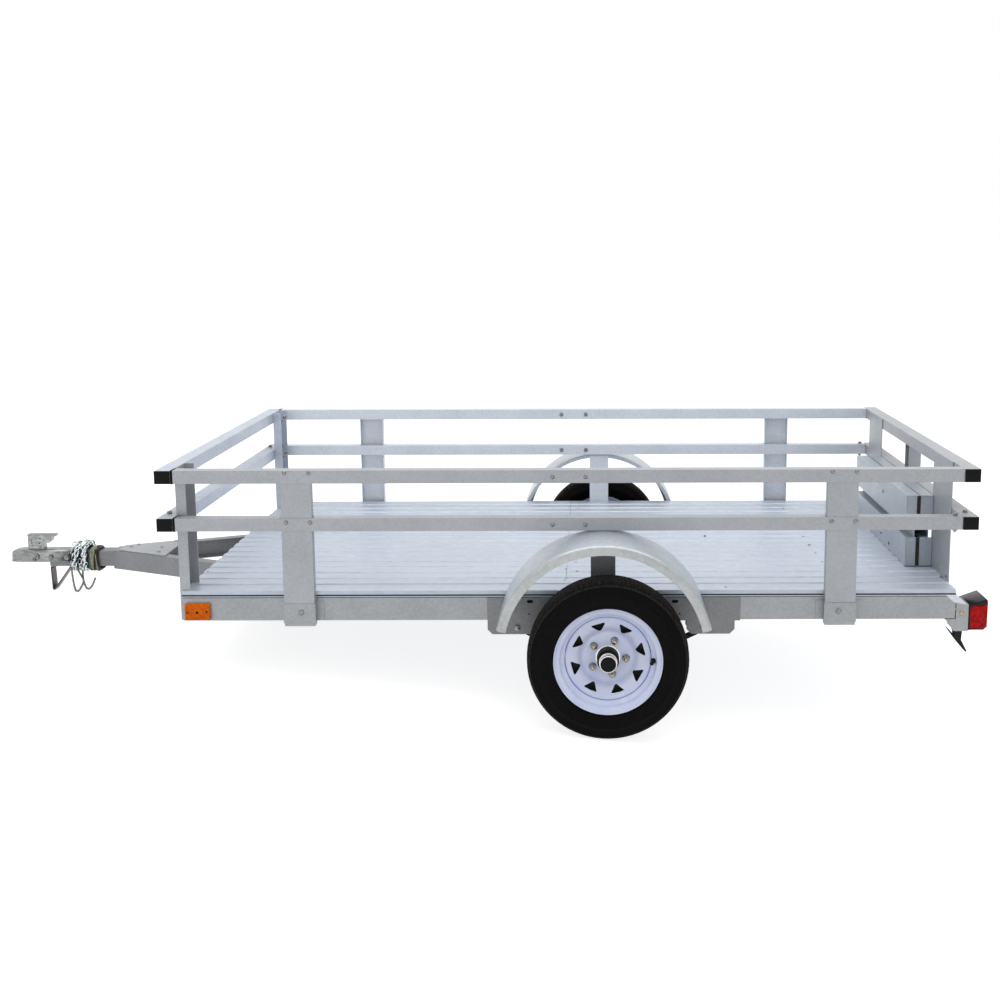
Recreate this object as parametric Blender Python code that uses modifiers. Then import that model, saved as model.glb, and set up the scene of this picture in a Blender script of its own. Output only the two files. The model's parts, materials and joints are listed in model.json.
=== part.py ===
"""Galvanised single-axle utility trailer with a railed bed, parked nose-down on its tongue stand.

Level frame: X = 0 and Y = 0 over the middle of the axle, Z = 0 on the ground under the tyres,
-X toward the coupler, -Y the near (left) side. Everything hangs under one empty, which is
tipped nose-down until the stand under the coupler meets the ground.
"""
import math

import bmesh
import bpy
from mathutils import Matrix, Vector

# General clearances, in metres
SEAT = 0.0003            # gap where two pieces bear on each other
FIT = 0.001              # gap round a piece that passes through a cut-out
OVERRUN = 0.004          # how far a cutter runs past what it cuts
WELD_OVERLAP = 0.001     # how far a welded-on piece sinks into the piece that carries it
MERGE = 0.0001           # merge distance for meshes

# Frame: steel channel all round
FRAME_FRONT = -1.382
FRAME_REAR = 1.134
FRAME_HALF_WIDTH = 0.7035
FRAME_BOTTOM = 0.3266
FRAME_HEIGHT = 0.0754
FRAME_FLANGE = 0.040
FRAME_WALL = 0.003
CROSS_MEMBER_XS = (-0.994, -0.40, 0.44)
CROSS_MEMBER_FLANGE = 0.035

# Deck: two ribbed sheets
DECK_DEPTH = 0.0239      # frame top to rib tops
DECK_SHEET = 0.0025
DECK_LIP_GAP = 0.0022    # dark line between the deck lip and the frame
DECK_SEAM_X = -0.135
DECK_SEAM_GAP = 0.0008
RIB_COUNT = 19
RIB_TOP_SHARE = 0.62     # share of the pitch that is raised
RIB_HEIGHT = 0.004
RIB_SLOPE = 0.003
WEB_EVERY = 3            # a stiffening web stands under every third rib

# Rail rings, upper and lower
RING_OVERHANG = 0.0587   # ahead of the frame
TUBE_HEIGHT = 0.0425
TUBE_WALL = 0.002
CROSS_TUBE_WIDTH = 0.050
SIDE_TUBE_WIDTH = 0.043
RING_TOPS = {"upper": 0.8295, "lower": 0.6743}

# Side posts and their pockets
SIDE_POST_XS = (-0.9945, 0.7525)
SIDE_POST_WIDTH = 0.098
SIDE_POST_DEPTH = 0.0315
POST_WALL = 0.0025
POCKET_SHEET = 0.0025
POCKET_TOP = 0.392
POCKET_DROP = 0.010      # how far the pocket and post reach below the frame
POCKET_TAB = 0.022

# Front posts
FRONT_POST_WIDTH = 0.100
FRONT_POST_DEPTH = 0.033

# Rear posts
REAR_POST_INSET = 0.2035  # from the frame's side to the post's middle
REAR_POST_WIDTH = 0.222
REAR_POST_SHEET = 0.0032
MIDDLE_POST_WIDTH = 0.057

# Wheels
TYRE_HALF_WIDTH = 0.0655
WHEEL_OFFSET = 0.1565    # from the frame's side to the wheel's middle plane
RIM_FLANGE_RADIUS = 0.1715
RIM_FLANGE_HEIGHT = 0.019
RIM_HALF_WIDTH = 0.057
RIM_WALL = 0.003
RIM_FLANGE_ROLL = 0.006  # how deep the flange's rolled edge is
RIM_WELL_DEPTH = 0.0145
RIM_WELL_HALF = 0.016
BEAD_SEAT_HALF = 0.051
BEAD_SEAT_INNER = 0.035
TYRE_RIM_GAP = 0.0012    # from the rim's flange out to the sidewall
SIDEWALL_HEIGHT = 0.0823
TYRE_OUTER_SHARES = ((0.09, 0.93), (0.42, 1.0), (0.76, 0.95), (0.94, 0.83), (1.0, 0.66))
TYRE_INNER_SHARES = ((0.84, 0.60), (0.40, 0.85))
                         # columns: share of the sidewall's height, share of the half width
TYRE_BEAD_HEIGHT = 0.013
TYRE_BEAD_SHARE = 0.60
DISC_FACE_Z = 0.026
DISC_ROOT_Z = 0.0026     # where the disc meets the barrel
DISC_SHEET = 0.004
DISC_FLAT_RADIUS = 0.078
DISC_BORE = 0.030
WINDOW_COUNT = 8
WINDOW_START = math.radians(15.7)
WINDOW_SIZE = 0.0191
WINDOW_SIDES = 12
WINDOW_POINTED_SHARE = 0.30
WINDOW_RADIAL_SHARE = 0.65
HUB_FLANGE_RADIUS = 0.070
HUB_FLANGE_THICKNESS = 0.010
HUB_BARREL_RADIUS = 0.033
HUB_BACK = 0.052         # from the wheel's middle plane inward
CAP_RADIUS = 0.039
CAP_LENGTH = 0.030
CAP_NOSE_RADIUS = 0.0265
CAP_NOSE_LENGTH = 0.012
CAP_CHAMFER = 0.004
TURN_STEPS = 40
SMALL_TURN_STEPS = 32

# Axle and springs
AXLE_RADIUS = 0.024
SPINDLE_RADIUS = 0.016
SPINDLE_PLAY = 0.0005
SPINDLE_TIP_Z = 0.012    # outward from the wheel's middle plane
SPINDLE_BACK = 0.008     # from the hub's back face to the beam's shoulder
AXLE_PAD = 0.006
AXLE_PAD_LENGTH = 0.080
AXLE_SIDES = 24
SPRING_WIDTH = 0.045
SPRING_EYE_FRONT_X = -0.290
SPRING_EYE_REAR_X = 0.320
SPRING_EYE_Z = 0.293
SPRING_EYE_RADIUS = 0.013
SPRING_LEAF = 0.006
SPRING_LEAVES = 3
SPRING_LEAF_STEP = 0.075
SPRING_SEGMENTS = 16
SPRING_CLAMP_HALF = 0.060   # flat middle, under the axle's pad
HANGER_PLATE = 0.004
HANGER_BOTTOM = 0.279
HANGER_CHAMFER = 0.016
HANGERS = ((-0.390, -0.235), (0.259, 0.416))   # columns: front end, rear end
SLEEVE_FRONT = -0.390
SLEEVE_REAR = 0.434
SLEEVE_SHEET = 0.0025

# Fenders
FENDER_CENTRE_X = -0.013
FENDER_CENTRE_Z = 0.290
FENDER_RADIUS = 0.3405
FENDER_WIDTH = 0.2365    # from the frame's side to the outer lip
FENDER_SHEET = 0.0022
FENDER_LIP = 0.034
FENDER_INNER_FLANGE = 0.014
FENDER_ROLL = 0.008
FENDER_END_ANGLE = math.radians(12.5)
FENDER_STEPS = 28
FENDER_BAR_X = -0.013
FENDER_BAR_WIDTH = 0.080
FENDER_BAR_SHEET = 0.003
FENDER_BAR_FOOT = 0.020  # above the frame's bottom edge

# Tongue: square tube between two channel arms
TONGUE_REACH = 0.475     # from the frame forward to where the arms meet
ARM_ANGLE = math.radians(23.5)
ARM_BOTTOM = 0.324
ARM_HEIGHT = 0.070
ARM_FLANGE = 0.038
ARM_WALL = 0.003
TONGUE_HALF_WIDTH = 0.030
TONGUE_HEIGHT = 0.0577
TONGUE_AHEAD = 0.243     # tube ahead of where the arms meet
TONGUE_BEHIND = 0.157    # tube between the arms
TONGUE_WALL = 0.003
GUSSET_SET_BACK = 0.022
GUSSET_LENGTH = 0.205
GUSSET_SHEET = 0.004
GUSSET_EDGE = 0.006      # how far the gusset stops inside the arms' outer faces

# Coupler
COUPLER_AHEAD = 0.150    # nose ahead of the tongue tube
COUPLER_OVERLAP = 0.085  # sleeve along the tongue tube
COUPLER_TOP = 0.395
COUPLER_BOTTOM = 0.351
COUPLER_SHEET = 0.0035
COUPLER_NOSE_FLAT = 0.016
COUPLER_NOSE_TAPER = 0.032
COUPLER_NOSE_DROP = 0.0135
SOCKET_RADIUS = 0.0262
SOCKET_SET_BACK = 0.040
SOCKET_SIDES = 24
LATCH_SET_BACK = 0.064   # from the coupler's nose
LATCH_LENGTH = 0.105
LATCH_HEIGHT = 0.055
LATCH_WIDTH = 0.028
LATCH_PLATE = 0.007
LATCH_BODY_LENGTH = 0.060
LATCH_FINGER = ((0.0, 0.012), (0.008, 0.024), (0.022, 0.024), (0.030, 0.014), (0.030, 0.0))
                         # columns: behind the latch's body, drop below its plate

# Stand: bent flat bar under the coupler
STAND_FOOT_Z = 0.243
STAND_FOOT_RADIUS = 0.006
STAND_FOOT_SET_BACK = 0.003   # of the bend, behind the front leg's top
STAND_LEG_AHEAD = 0.004  # front leg ahead of the tongue tube
STAND_SPREAD = 0.079     # between the two legs' tops
STAND_BAR = 0.005
STAND_WIDTH = 0.040
STAND_TAB = 0.014
STAND_BEND_STEPS = 5

# Safety chains and wiring wound round the tongue
WOUND_GAP = 0.005        # between the coupler, the chains and the wiring
CHAIN_LENGTH = 0.070
CHAIN_THICKNESS = 0.018
CHAIN_FACETS = 12
HOOK_WIRE = 0.007
HOOK_INSET = 0.011       # in from the wound chain's outside
HOOK_BENDS = (((0.002, 0.025), (0.006, 0.118), (0.014, 0.126), (0.025, 0.115), (0.036, 0.088)),
              ((0.041, 0.025), (0.039, 0.086), (0.046, 0.110), (0.054, 0.118), (0.064, 0.108),
               (0.080, 0.078)))
                         # columns: behind the chain's front, drop below the tube's middle
HARNESS_LENGTH = 0.046
HARNESS_THICKNESS = 0.010

# Tail lamps, their brackets and the plate holder
LAMP_BEHIND = 0.044      # lamp's back, behind the frame
LAMP_INSET = 0.0035      # lamp's outer side, in from the frame's side
LAMP_WIDTH = 0.110
LAMP_BOTTOM = 0.287
LAMP_SECTION = ((0.0, 0.0), (0.0535, 0.0), (0.0655, 0.012), (0.0655, 0.085), (0.0615, 0.105),
                (0.0, 0.083))
                         # columns: behind the bracket, height over the lamp's bottom
BRACKET_SHEET = 0.003
BRACKET_TOP = 0.375
BRACKET_BOTTOM = 0.285
BRACKET_LEG = 0.0867     # across the frame's end, and across behind the lamp
BRACKET_CORNER = 0.032   # how far its corner reaches under the frame
BRACKET_CORNER_FOOT = 0.004
PLATE_HOLDER_SECTION = ((SEAT, SEAT), (0.027, SEAT), (0.0245, 0.031), (0.0445, 0.069),
                        (0.040, 0.072), (0.008, 0.0345), (-0.020, -0.004), (-0.019, -0.0075),
                        (0.003, 0.017))
                         # columns: how far behind the frame, drop below the bracket
PLATE_HOLDER_WIDTH = 0.030

# Amber side markers
MARKER_SET_BACK = 0.009
MARKER_LENGTH = 0.082
MARKER_BOTTOM = 0.3300
MARKER_HEIGHT = 0.056
MARKER_DEPTH = 0.014

# Loading ramp, folded and stowed on edge at the tail
RAMP_OVERLAP = 0.017     # how far each end reaches in front of a rear post
RAMP_LEAVES = (("ramp_leaf_inner", 0.093), ("ramp_leaf_outer", 0.045))
                         # columns: name, front face ahead of the frame's rear end
RAMP_DEPTH = 0.0445
RAMP_BOTTOM_GAP = 0.0003
RAMP_SHEET = 0.0025
RAMP_LOWER_CHANNEL = 0.102
RAMP_MIDDLE = 0.030
RAMP_UPPER_CHANNEL = 0.117
RAMP_RECESS = 0.028

SIDES = (("near", -1), ("far", 1))
FRAME_TOP = FRAME_BOTTOM + FRAME_HEIGHT
DECK_TOP = FRAME_TOP + DECK_DEPTH
RING_HALF_WIDTH = FRAME_HALF_WIDTH + SEAT + SIDE_POST_DEPTH + SEAT + TUBE_WALL
RING_FRONT = FRAME_FRONT - RING_OVERHANG
RING_REAR = FRAME_REAR + SEAT + REAR_POST_SHEET + SEAT + CROSS_TUBE_WIDTH
BEAD_SEAT_RADIUS = RIM_FLANGE_RADIUS - RIM_FLANGE_HEIGHT
RIM_WELL_RADIUS = BEAD_SEAT_RADIUS - RIM_WELL_DEPTH
WINDOW_RADIUS = (DISC_FLAT_RADIUS + RIM_WELL_RADIUS) / 2
TYRE_RADIUS = RIM_FLANGE_RADIUS + TYRE_RIM_GAP + SIDEWALL_HEIGHT
AXLE_Z = TYRE_RADIUS
WHEEL_CENTRE_Y = FRAME_HALF_WIDTH + WHEEL_OFFSET
ARM_APEX_X = FRAME_FRONT - TONGUE_REACH
TONGUE_FRONT = ARM_APEX_X - TONGUE_AHEAD
TONGUE_REAR = ARM_APEX_X + TONGUE_BEHIND
COUPLER_NOSE = TONGUE_FRONT - COUPLER_AHEAD
COUPLER_REAR = TONGUE_FRONT + COUPLER_OVERLAP
STAND_LEG_X = TONGUE_FRONT - STAND_LEG_AHEAD
STAND_FOOT_X = STAND_LEG_X + STAND_FOOT_SET_BACK
CHAIN_FRONT = COUPLER_REAR + WOUND_GAP
HARNESS_FRONT = CHAIN_FRONT + CHAIN_LENGTH + WOUND_GAP
LAMP_FRONT = FRAME_REAR + LAMP_BEHIND


# Materials: colour, roughness, metallic
FINISHES = {
    "galvanised": ((0.50, 0.52, 0.54), 0.45, 0.7),
    "galvanised_deck": ((0.62, 0.66, 0.70), 0.40, 0.7),
    "rubber": ((0.02, 0.02, 0.022), 0.85, 0.0),
    "white_paint": ((0.82, 0.82, 0.86), 0.35, 0.0),
    "black_steel": ((0.03, 0.03, 0.03), 0.50, 0.3),
    "zinc": ((0.40, 0.40, 0.38), 0.45, 0.8),
    "red_lens": ((0.60, 0.01, 0.02), 0.20, 0.0),
    "amber_lens": ((0.85, 0.25, 0.02), 0.25, 0.0),
    "cable": ((0.05, 0.05, 0.05), 0.60, 0.0),
}


def clear_scene():
    for obj in list(bpy.data.objects):
        bpy.data.objects.remove(obj, do_unlink=True)


def make_material(name):
    colour, roughness, metallic = FINISHES[name]
    mat = bpy.data.materials.new(name)
    mat.use_nodes = True
    shader = mat.node_tree.nodes["Principled BSDF"]
    shader.inputs["Base Color"].default_value = (*colour, 1.0)
    shader.inputs["Roughness"].default_value = roughness
    shader.inputs["Metallic"].default_value = metallic
    return mat


clear_scene()
MATERIALS = {name: make_material(name) for name in FINISHES}
PARTS = bpy.data.collections.new("utility_trailer")
CUTTERS = bpy.data.collections.new("cutters")
for group in (PARTS, CUTTERS):
    bpy.context.scene.collection.children.link(group)
ROOT = bpy.data.objects.new("trailer_root", None)
PARTS.objects.link(ROOT)


def add_object(name, mesh, finish, parent=ROOT):
    """Put a mesh in the model under its parent, with its finish."""
    obj = bpy.data.objects.new(name, mesh)
    mesh.materials.clear()
    mesh.materials.append(MATERIALS[finish])
    PARTS.objects.link(obj)
    obj.parent = parent
    return obj


def add_cutter(name, mesh, parent=ROOT):
    """Put a cutting mesh in the cutters' collection, out of the render."""
    obj = bpy.data.objects.new(name, mesh)
    CUTTERS.objects.link(obj)
    obj.parent = parent
    obj.hide_render = True
    obj.display_type = "WIRE"
    return obj


def boolean(obj, operation, other):
    mod = obj.modifiers.new(operation.lower(), "BOOLEAN")
    mod.operation = operation
    mod.object = other
    return mod


def box_mesh(name, low, high):
    """A box from its lowest to its highest corner."""
    low = Vector(low)
    high = Vector(high)
    bm = bmesh.new()
    place = Matrix.Translation((low + high) / 2) @ Matrix.Diagonal((*(high - low), 1.0))
    bmesh.ops.create_cube(bm, size=1.0, matrix=place)
    mesh = bpy.data.meshes.new(name)
    bm.to_mesh(mesh)
    bm.free()
    return mesh


def strip(path, thickness):
    """Outline of a bent sheet: the path and its offset to the left by the thickness."""
    points = [Vector(p) for p in path]
    normals = []
    for a, b in zip(points, points[1:]):
        along = (b - a).normalized()
        normals.append(Vector((-along.y, along.x)))
    offset = []
    for i, p in enumerate(points):
        before = normals[max(i - 1, 0)]
        after = normals[min(i, len(normals) - 1)]
        offset.append(p + (before + after) * (thickness / (1.0 + before.dot(after))))
    return [tuple(p) for p in points + offset[::-1]]


def channel(back, lip, low, high, wall):
    """C section with its web at u = back and flanges reaching to u = lip."""
    path = [(lip, high), (back, high), (back, low), (lip, low)]
    if lip < back:
        path = path[::-1]
    return strip(path, wall)


def rectangle(u0, u1, v0, v1):
    return [(u0, v0), (u1, v0), (u1, v1), (u0, v1)]


def arc(centre, radius, start, end, steps):
    """Points on an arc, both ends included."""
    return [(centre[0] + radius * math.cos(start + (end - start) * i / steps),
             centre[1] + radius * math.sin(start + (end - start) * i / steps))
            for i in range(steps + 1)]


# A prism's outline lies in the XY plane before one of these turns it
ALONG_X = Matrix(((0, 0, 1, 0), (1, 0, 0, 0), (0, 1, 0, 0), (0, 0, 0, 1)))
ALONG_Y = Matrix.Rotation(math.pi / 2, 4, "X")
ALONG_Z = Matrix.Identity(4)


def prism_mesh(name, outlines, start, end, turn):
    """Extrude an outline, and the holes in it, from start to end along the turned axis."""
    curve = bpy.data.curves.new(name, "CURVE")
    curve.dimensions = "2D"
    curve.fill_mode = "BOTH"
    curve.extrude = abs(end - start) / 2
    for outline in outlines:
        spline = curve.splines.new("POLY")
        spline.points.add(len(outline) - 1)
        for point, (u, v) in zip(spline.points, outline):
            point.co = (u, v, 0.0, 1.0)
        spline.use_cyclic_u = True
    drawing = bpy.data.objects.new(name, curve)
    bpy.context.scene.collection.objects.link(drawing)
    evaluated = drawing.evaluated_get(bpy.context.evaluated_depsgraph_get())
    mesh = bpy.data.meshes.new_from_object(evaluated)
    bpy.data.objects.remove(drawing)
    bpy.data.curves.remove(curve)
    bm = bmesh.new()
    bm.from_mesh(mesh)
    bmesh.ops.remove_doubles(bm, verts=bm.verts, dist=MERGE)
    middle = (start + end) / 2
    if turn is ALONG_Y:
        middle = -middle
    bmesh.ops.transform(bm, matrix=turn @ Matrix.Translation((0, 0, middle)), verts=bm.verts)
    bmesh.ops.recalc_face_normals(bm, faces=bm.faces)
    bm.to_mesh(mesh)
    bm.free()
    return mesh


def prism(name, outline, start, end, turn, finish, holes=()):
    return add_object(name, prism_mesh(name, [outline, *holes], start, end, turn), finish)


def turned_mesh(name, profile, closed):
    """The section of a turned piece, radius along X and height along Z."""
    mesh = bpy.data.meshes.new(name)
    edges = [(i, i + 1) for i in range(len(profile) - 1)]
    if closed:
        edges.append((len(profile) - 1, 0))
    mesh.from_pydata([(r, 0.0, z) for r, z in profile], edges, [])
    return mesh


def turned(name, profile, steps, finish, parent, closed=True):
    obj = add_object(name, turned_mesh(name, profile, closed), finish, parent)
    screw = obj.modifiers.new("turn", "SCREW")
    screw.axis = "Z"
    screw.steps = steps
    screw.render_steps = steps
    screw.use_merge_vertices = True
    screw.merge_threshold = MERGE
    screw.use_smooth_shade = True
    return obj


def mirror_y(side, low, high):
    """The Y range from low to high on the near or far side, in rising order."""
    return tuple(sorted((side * low, side * high)))


# Frame and deck

def pocket_outline(side, post_x):
    """Plan of the welded hat that holds a side post against the frame."""
    face = side * (FRAME_HALF_WIDTH - WELD_OVERLAP)
    inner = side * (FRAME_HALF_WIDTH + SEAT + SIDE_POST_DEPTH + SEAT)
    half = SIDE_POST_WIDTH / 2 + SEAT
    tab = side * (FRAME_HALF_WIDTH + POCKET_SHEET)
    skin = side * POCKET_SHEET
    reach = half + POCKET_SHEET + POCKET_TAB
    outside = [(post_x - reach, face), (post_x - reach, tab),
               (post_x - half - POCKET_SHEET, tab), (post_x - half - POCKET_SHEET, inner + skin),
               (post_x + half + POCKET_SHEET, inner + skin), (post_x + half + POCKET_SHEET, tab),
               (post_x + reach, tab), (post_x + reach, face)]
    inside = [(post_x + half, face), (post_x + half, inner),
              (post_x - half, inner), (post_x - half, face)]
    return outside + inside


def side_frame_rail(label, side):
    back = side * FRAME_HALF_WIDTH
    lip = side * (FRAME_HALF_WIDTH - FRAME_FLANGE)
    rail = prism(f"frame_rail_{label}", channel(back, lip, FRAME_BOTTOM, FRAME_TOP, FRAME_WALL),
                 FRAME_FRONT, FRAME_REAR, ALONG_X, "galvanised")
    for i, post_x in enumerate(SIDE_POST_XS):
        hat = prism_mesh(f"pocket_{label}_{i}", [pocket_outline(side, post_x)],
                         FRAME_BOTTOM + WELD_OVERLAP, POCKET_TOP, ALONG_Z)
        boolean(rail, "UNION", add_cutter(f"pocket_{label}_{i}", hat))


def arm_line(side, x):
    """Y of the arm's outer face at x."""
    return side * (TONGUE_HALF_WIDTH + SEAT + ARM_WALL
                   + (x - ARM_APEX_X) * math.tan(ARM_ANGLE))


def arm_envelope(side, gap):
    """Plan of an arm with a gap all round, from ahead of the frame to the first cross member."""
    depth = ARM_FLANGE / math.cos(ARM_ANGLE)
    grow = gap / math.cos(ARM_ANGLE)
    start = FRAME_FRONT - OVERRUN
    end = FRAME_FRONT + FRAME_FLANGE + OVERRUN
    outer = [(x, arm_line(side, x) + side * grow) for x in (start, end)]
    inner = [(x, arm_line(side, x) - side * (depth + grow)) for x in (end, start)]
    return outer + inner


def end_members():
    """Channels across the frame's two ends, between the side rails."""
    half = FRAME_HALF_WIDTH - FRAME_WALL - SEAT
    low = FRAME_BOTTOM + FRAME_WALL + SEAT
    high = FRAME_TOP - FRAME_WALL - SEAT
    front = prism("frame_front_member",
                  channel(FRAME_FRONT, FRAME_FRONT + FRAME_FLANGE, low, high, FRAME_WALL),
                  -half, half, ALONG_Y, "galvanised")
    for label, side in SIDES:
        notch = prism_mesh(f"arm_notch_{label}", [arm_envelope(side, FIT)],
                           ARM_BOTTOM - OVERRUN, ARM_BOTTOM + ARM_HEIGHT + FIT, ALONG_Z)
        boolean(front, "DIFFERENCE", add_cutter(f"arm_notch_{label}", notch))
    prism("frame_rear_member",
          channel(FRAME_REAR, FRAME_REAR - FRAME_FLANGE, low, high, FRAME_WALL),
          -half, half, ALONG_Y, "galvanised")


def cross_members():
    half = FRAME_HALF_WIDTH - FRAME_WALL - SEAT
    low = FRAME_BOTTOM + FRAME_WALL + SEAT
    high = FRAME_TOP - FRAME_WALL - SEAT
    for i, x in enumerate(CROSS_MEMBER_XS):
        prism(f"cross_member_{i + 1}", channel(x, x + CROSS_MEMBER_FLANGE, low, high, FRAME_WALL),
              -half, half, ALONG_Y, "galvanised")


def deck_outline():
    """Section of the deck: ribs on top, lips at the edges, stiffening webs below."""
    half = FRAME_HALF_WIDTH
    pitch = 2 * half / RIB_COUNT
    raised = pitch * RIB_TOP_SHARE / 2
    valley = DECK_TOP - RIB_HEIGHT
    top = [(-half, DECK_TOP)]
    bottom = [(half, FRAME_TOP + DECK_LIP_GAP), (half - DECK_SHEET, FRAME_TOP + DECK_LIP_GAP),
              (half - DECK_SHEET, valley - DECK_SHEET)]
    for i in range(RIB_COUNT - 1):
        end = -half + (i + 1) * pitch
        top += [(end - pitch / 2 + raised, DECK_TOP),
                (end - pitch / 2 + raised + RIB_SLOPE, valley),
                (end + pitch / 2 - raised - RIB_SLOPE, valley),
                (end + pitch / 2 - raised, DECK_TOP)]
    top.append((half, DECK_TOP))
    for i in range(RIB_COUNT - 1, 0, -1):
        if i % WEB_EVERY:
            continue
        y = -half + i * pitch
        bottom += [(y + DECK_SHEET / 2, valley - DECK_SHEET), (y + DECK_SHEET / 2, FRAME_TOP + SEAT),
                   (y - DECK_SHEET / 2, FRAME_TOP + SEAT), (y - DECK_SHEET / 2, valley - DECK_SHEET)]
    bottom += [(-half + DECK_SHEET, valley - DECK_SHEET),
               (-half + DECK_SHEET, FRAME_TOP + DECK_LIP_GAP), (-half, FRAME_TOP + DECK_LIP_GAP)]
    return top + bottom


def deck():
    outline = deck_outline()
    prism("deck_front", outline, FRAME_FRONT, DECK_SEAM_X - DECK_SEAM_GAP / 2, ALONG_X,
          "galvanised_deck")
    prism("deck_rear", outline, DECK_SEAM_X + DECK_SEAM_GAP / 2, FRAME_REAR, ALONG_X,
          "galvanised_deck")


# Posts and rails

def side_post(label, side, row, post_x):
    web = side * (FRAME_HALF_WIDTH + SEAT + SIDE_POST_DEPTH)
    lip = side * (FRAME_HALF_WIDTH + SEAT)
    half = SIDE_POST_WIDTH / 2
    outline = [(x, y) for y, x in channel(web, lip, post_x - half, post_x + half, POST_WALL)]
    prism(f"side_post_{row}_{label}", outline, FRAME_BOTTOM - POCKET_DROP,
          RING_TOPS["upper"] - TUBE_WALL - SEAT, ALONG_Z, "galvanised")


def slot_heights(level):
    """A post passes right through a lower rail and ends under an upper rail's top wall."""
    top = RING_TOPS[level]
    if level == "lower":
        return top - TUBE_HEIGHT - OVERRUN, top + OVERRUN
    return top - TUBE_HEIGHT - OVERRUN, top - TUBE_WALL - OVERRUN


def side_rail(label, side, level):
    """Square tube along one side, slotted where the posts pass through it."""
    top = RING_TOPS[level]
    y0, y1 = mirror_y(side, RING_HALF_WIDTH - SIDE_TUBE_WIDTH, RING_HALF_WIDTH)
    start = RING_FRONT + CROSS_TUBE_WIDTH + SEAT
    end = RING_REAR - CROSS_TUBE_WIDTH - SEAT
    outer = rectangle(y0, y1, top - TUBE_HEIGHT, top)
    inner = rectangle(y0 + TUBE_WALL, y1 - TUBE_WALL, top - TUBE_HEIGHT + TUBE_WALL,
                      top - TUBE_WALL)
    rail = prism(f"{level}_rail_{label}", outer, start, end, ALONG_X, "galvanised", [inner])
    low, high = slot_heights(level)
    for i, post_x in enumerate(SIDE_POST_XS):
        half = SIDE_POST_WIDTH / 2 + FIT
        slot = box_mesh(f"slot_{level}_{label}_{i}", (post_x - half, y0 + TUBE_WALL, low),
                        (post_x + half, y1 - TUBE_WALL, high))
        boolean(rail, "DIFFERENCE", add_cutter(f"slot_{level}_{label}_{i}", slot))


def end_rail(place, level):
    top = RING_TOPS[level]
    if place == "front":
        x0, x1 = RING_FRONT, RING_FRONT + CROSS_TUBE_WIDTH
    else:
        x0, x1 = RING_REAR - CROSS_TUBE_WIDTH, RING_REAR
    outer = rectangle(x0, x1, top - TUBE_HEIGHT, top)
    inner = rectangle(x0 + TUBE_WALL, x1 - TUBE_WALL, top - TUBE_HEIGHT + TUBE_WALL,
                      top - TUBE_WALL)
    rail = prism(f"{level}_rail_{place}", outer, -RING_HALF_WIDTH, RING_HALF_WIDTH, ALONG_Y,
                 "galvanised", [inner])
    if place == "rear":
        half = MIDDLE_POST_WIDTH / 2 + FIT
        low, high = slot_heights(level)
        slot = box_mesh(f"slot_{level}_{place}", (x0 + TUBE_WALL, -half, low),
                        (x1 - TUBE_WALL, half, high))
        boolean(rail, "DIFFERENCE", add_cutter(f"slot_{level}_{place}", slot))


def front_post(label, side):
    """Channel on the deck's front edge, whose web runs on down over the front member."""
    web = RING_FRONT + CROSS_TUBE_WIDTH + SEAT
    outer = RING_HALF_WIDTH - SIDE_TUBE_WIDTH - SEAT
    y0, y1 = mirror_y(side, outer - FRONT_POST_WIDTH, outer)
    post = prism(f"front_post_{label}", channel(web, web + FRONT_POST_DEPTH, y0, y1, POST_WALL),
                 FRAME_BOTTOM, RING_TOPS["upper"], ALONG_Z, "galvanised")
    foot = box_mesh(f"front_post_foot_{label}",
                    (FRAME_FRONT - SEAT, y0 - OVERRUN, FRAME_BOTTOM - OVERRUN),
                    (web + FRONT_POST_DEPTH + OVERRUN, y1 + OVERRUN, DECK_TOP + SEAT))
    boolean(post, "DIFFERENCE", add_cutter(f"front_post_foot_{label}", foot))


def rear_posts():
    """Two wide plates against the rear rails, and a narrow channel slotted through them."""
    face = FRAME_REAR + SEAT
    for label, side in SIDES:
        centre = side * (FRAME_HALF_WIDTH - REAR_POST_INSET)
        mesh = box_mesh(f"rear_post_{label}", (face, centre - REAR_POST_WIDTH / 2, FRAME_BOTTOM),
                        (face + REAR_POST_SHEET, centre + REAR_POST_WIDTH / 2, RING_TOPS["upper"]))
        add_object(f"rear_post_{label}", mesh, "galvanised")
    half = MIDDLE_POST_WIDTH / 2
    web = RING_REAR - TUBE_WALL - SEAT
    lip = RING_REAR - CROSS_TUBE_WIDTH + TUBE_WALL + SEAT
    post = prism("rear_post_middle", channel(web, face, -half, half, POST_WALL), FRAME_BOTTOM,
                 RING_TOPS["upper"] - TUBE_WALL - SEAT, ALONG_Z, "galvanised")
    relief = box_mesh("rear_post_relief",
                      (face - OVERRUN, -half - OVERRUN, RING_TOPS["lower"] - TUBE_HEIGHT - FIT),
                      (lip, half + OVERRUN, RING_TOPS["upper"]))
    boolean(post, "DIFFERENCE", add_cutter("rear_post_relief", relief))


# Axle, springs and wheels

def spring_z(x):
    """Underside of the main leaf, a shallow bow from eye to eye."""
    middle = (SPRING_EYE_FRONT_X + SPRING_EYE_REAR_X) / 2
    half = (SPRING_EYE_REAR_X - SPRING_EYE_FRONT_X) / 2
    low = AXLE_Z - AXLE_RADIUS - AXLE_PAD - SEAT - SPRING_LEAF
    eye = SPRING_EYE_Z - SPRING_LEAF / 2
    share = max(abs(x - middle) - SPRING_CLAMP_HALF, 0.0) / (half - SPRING_CLAMP_HALF)
    return low + (eye - low) * share * share


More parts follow.
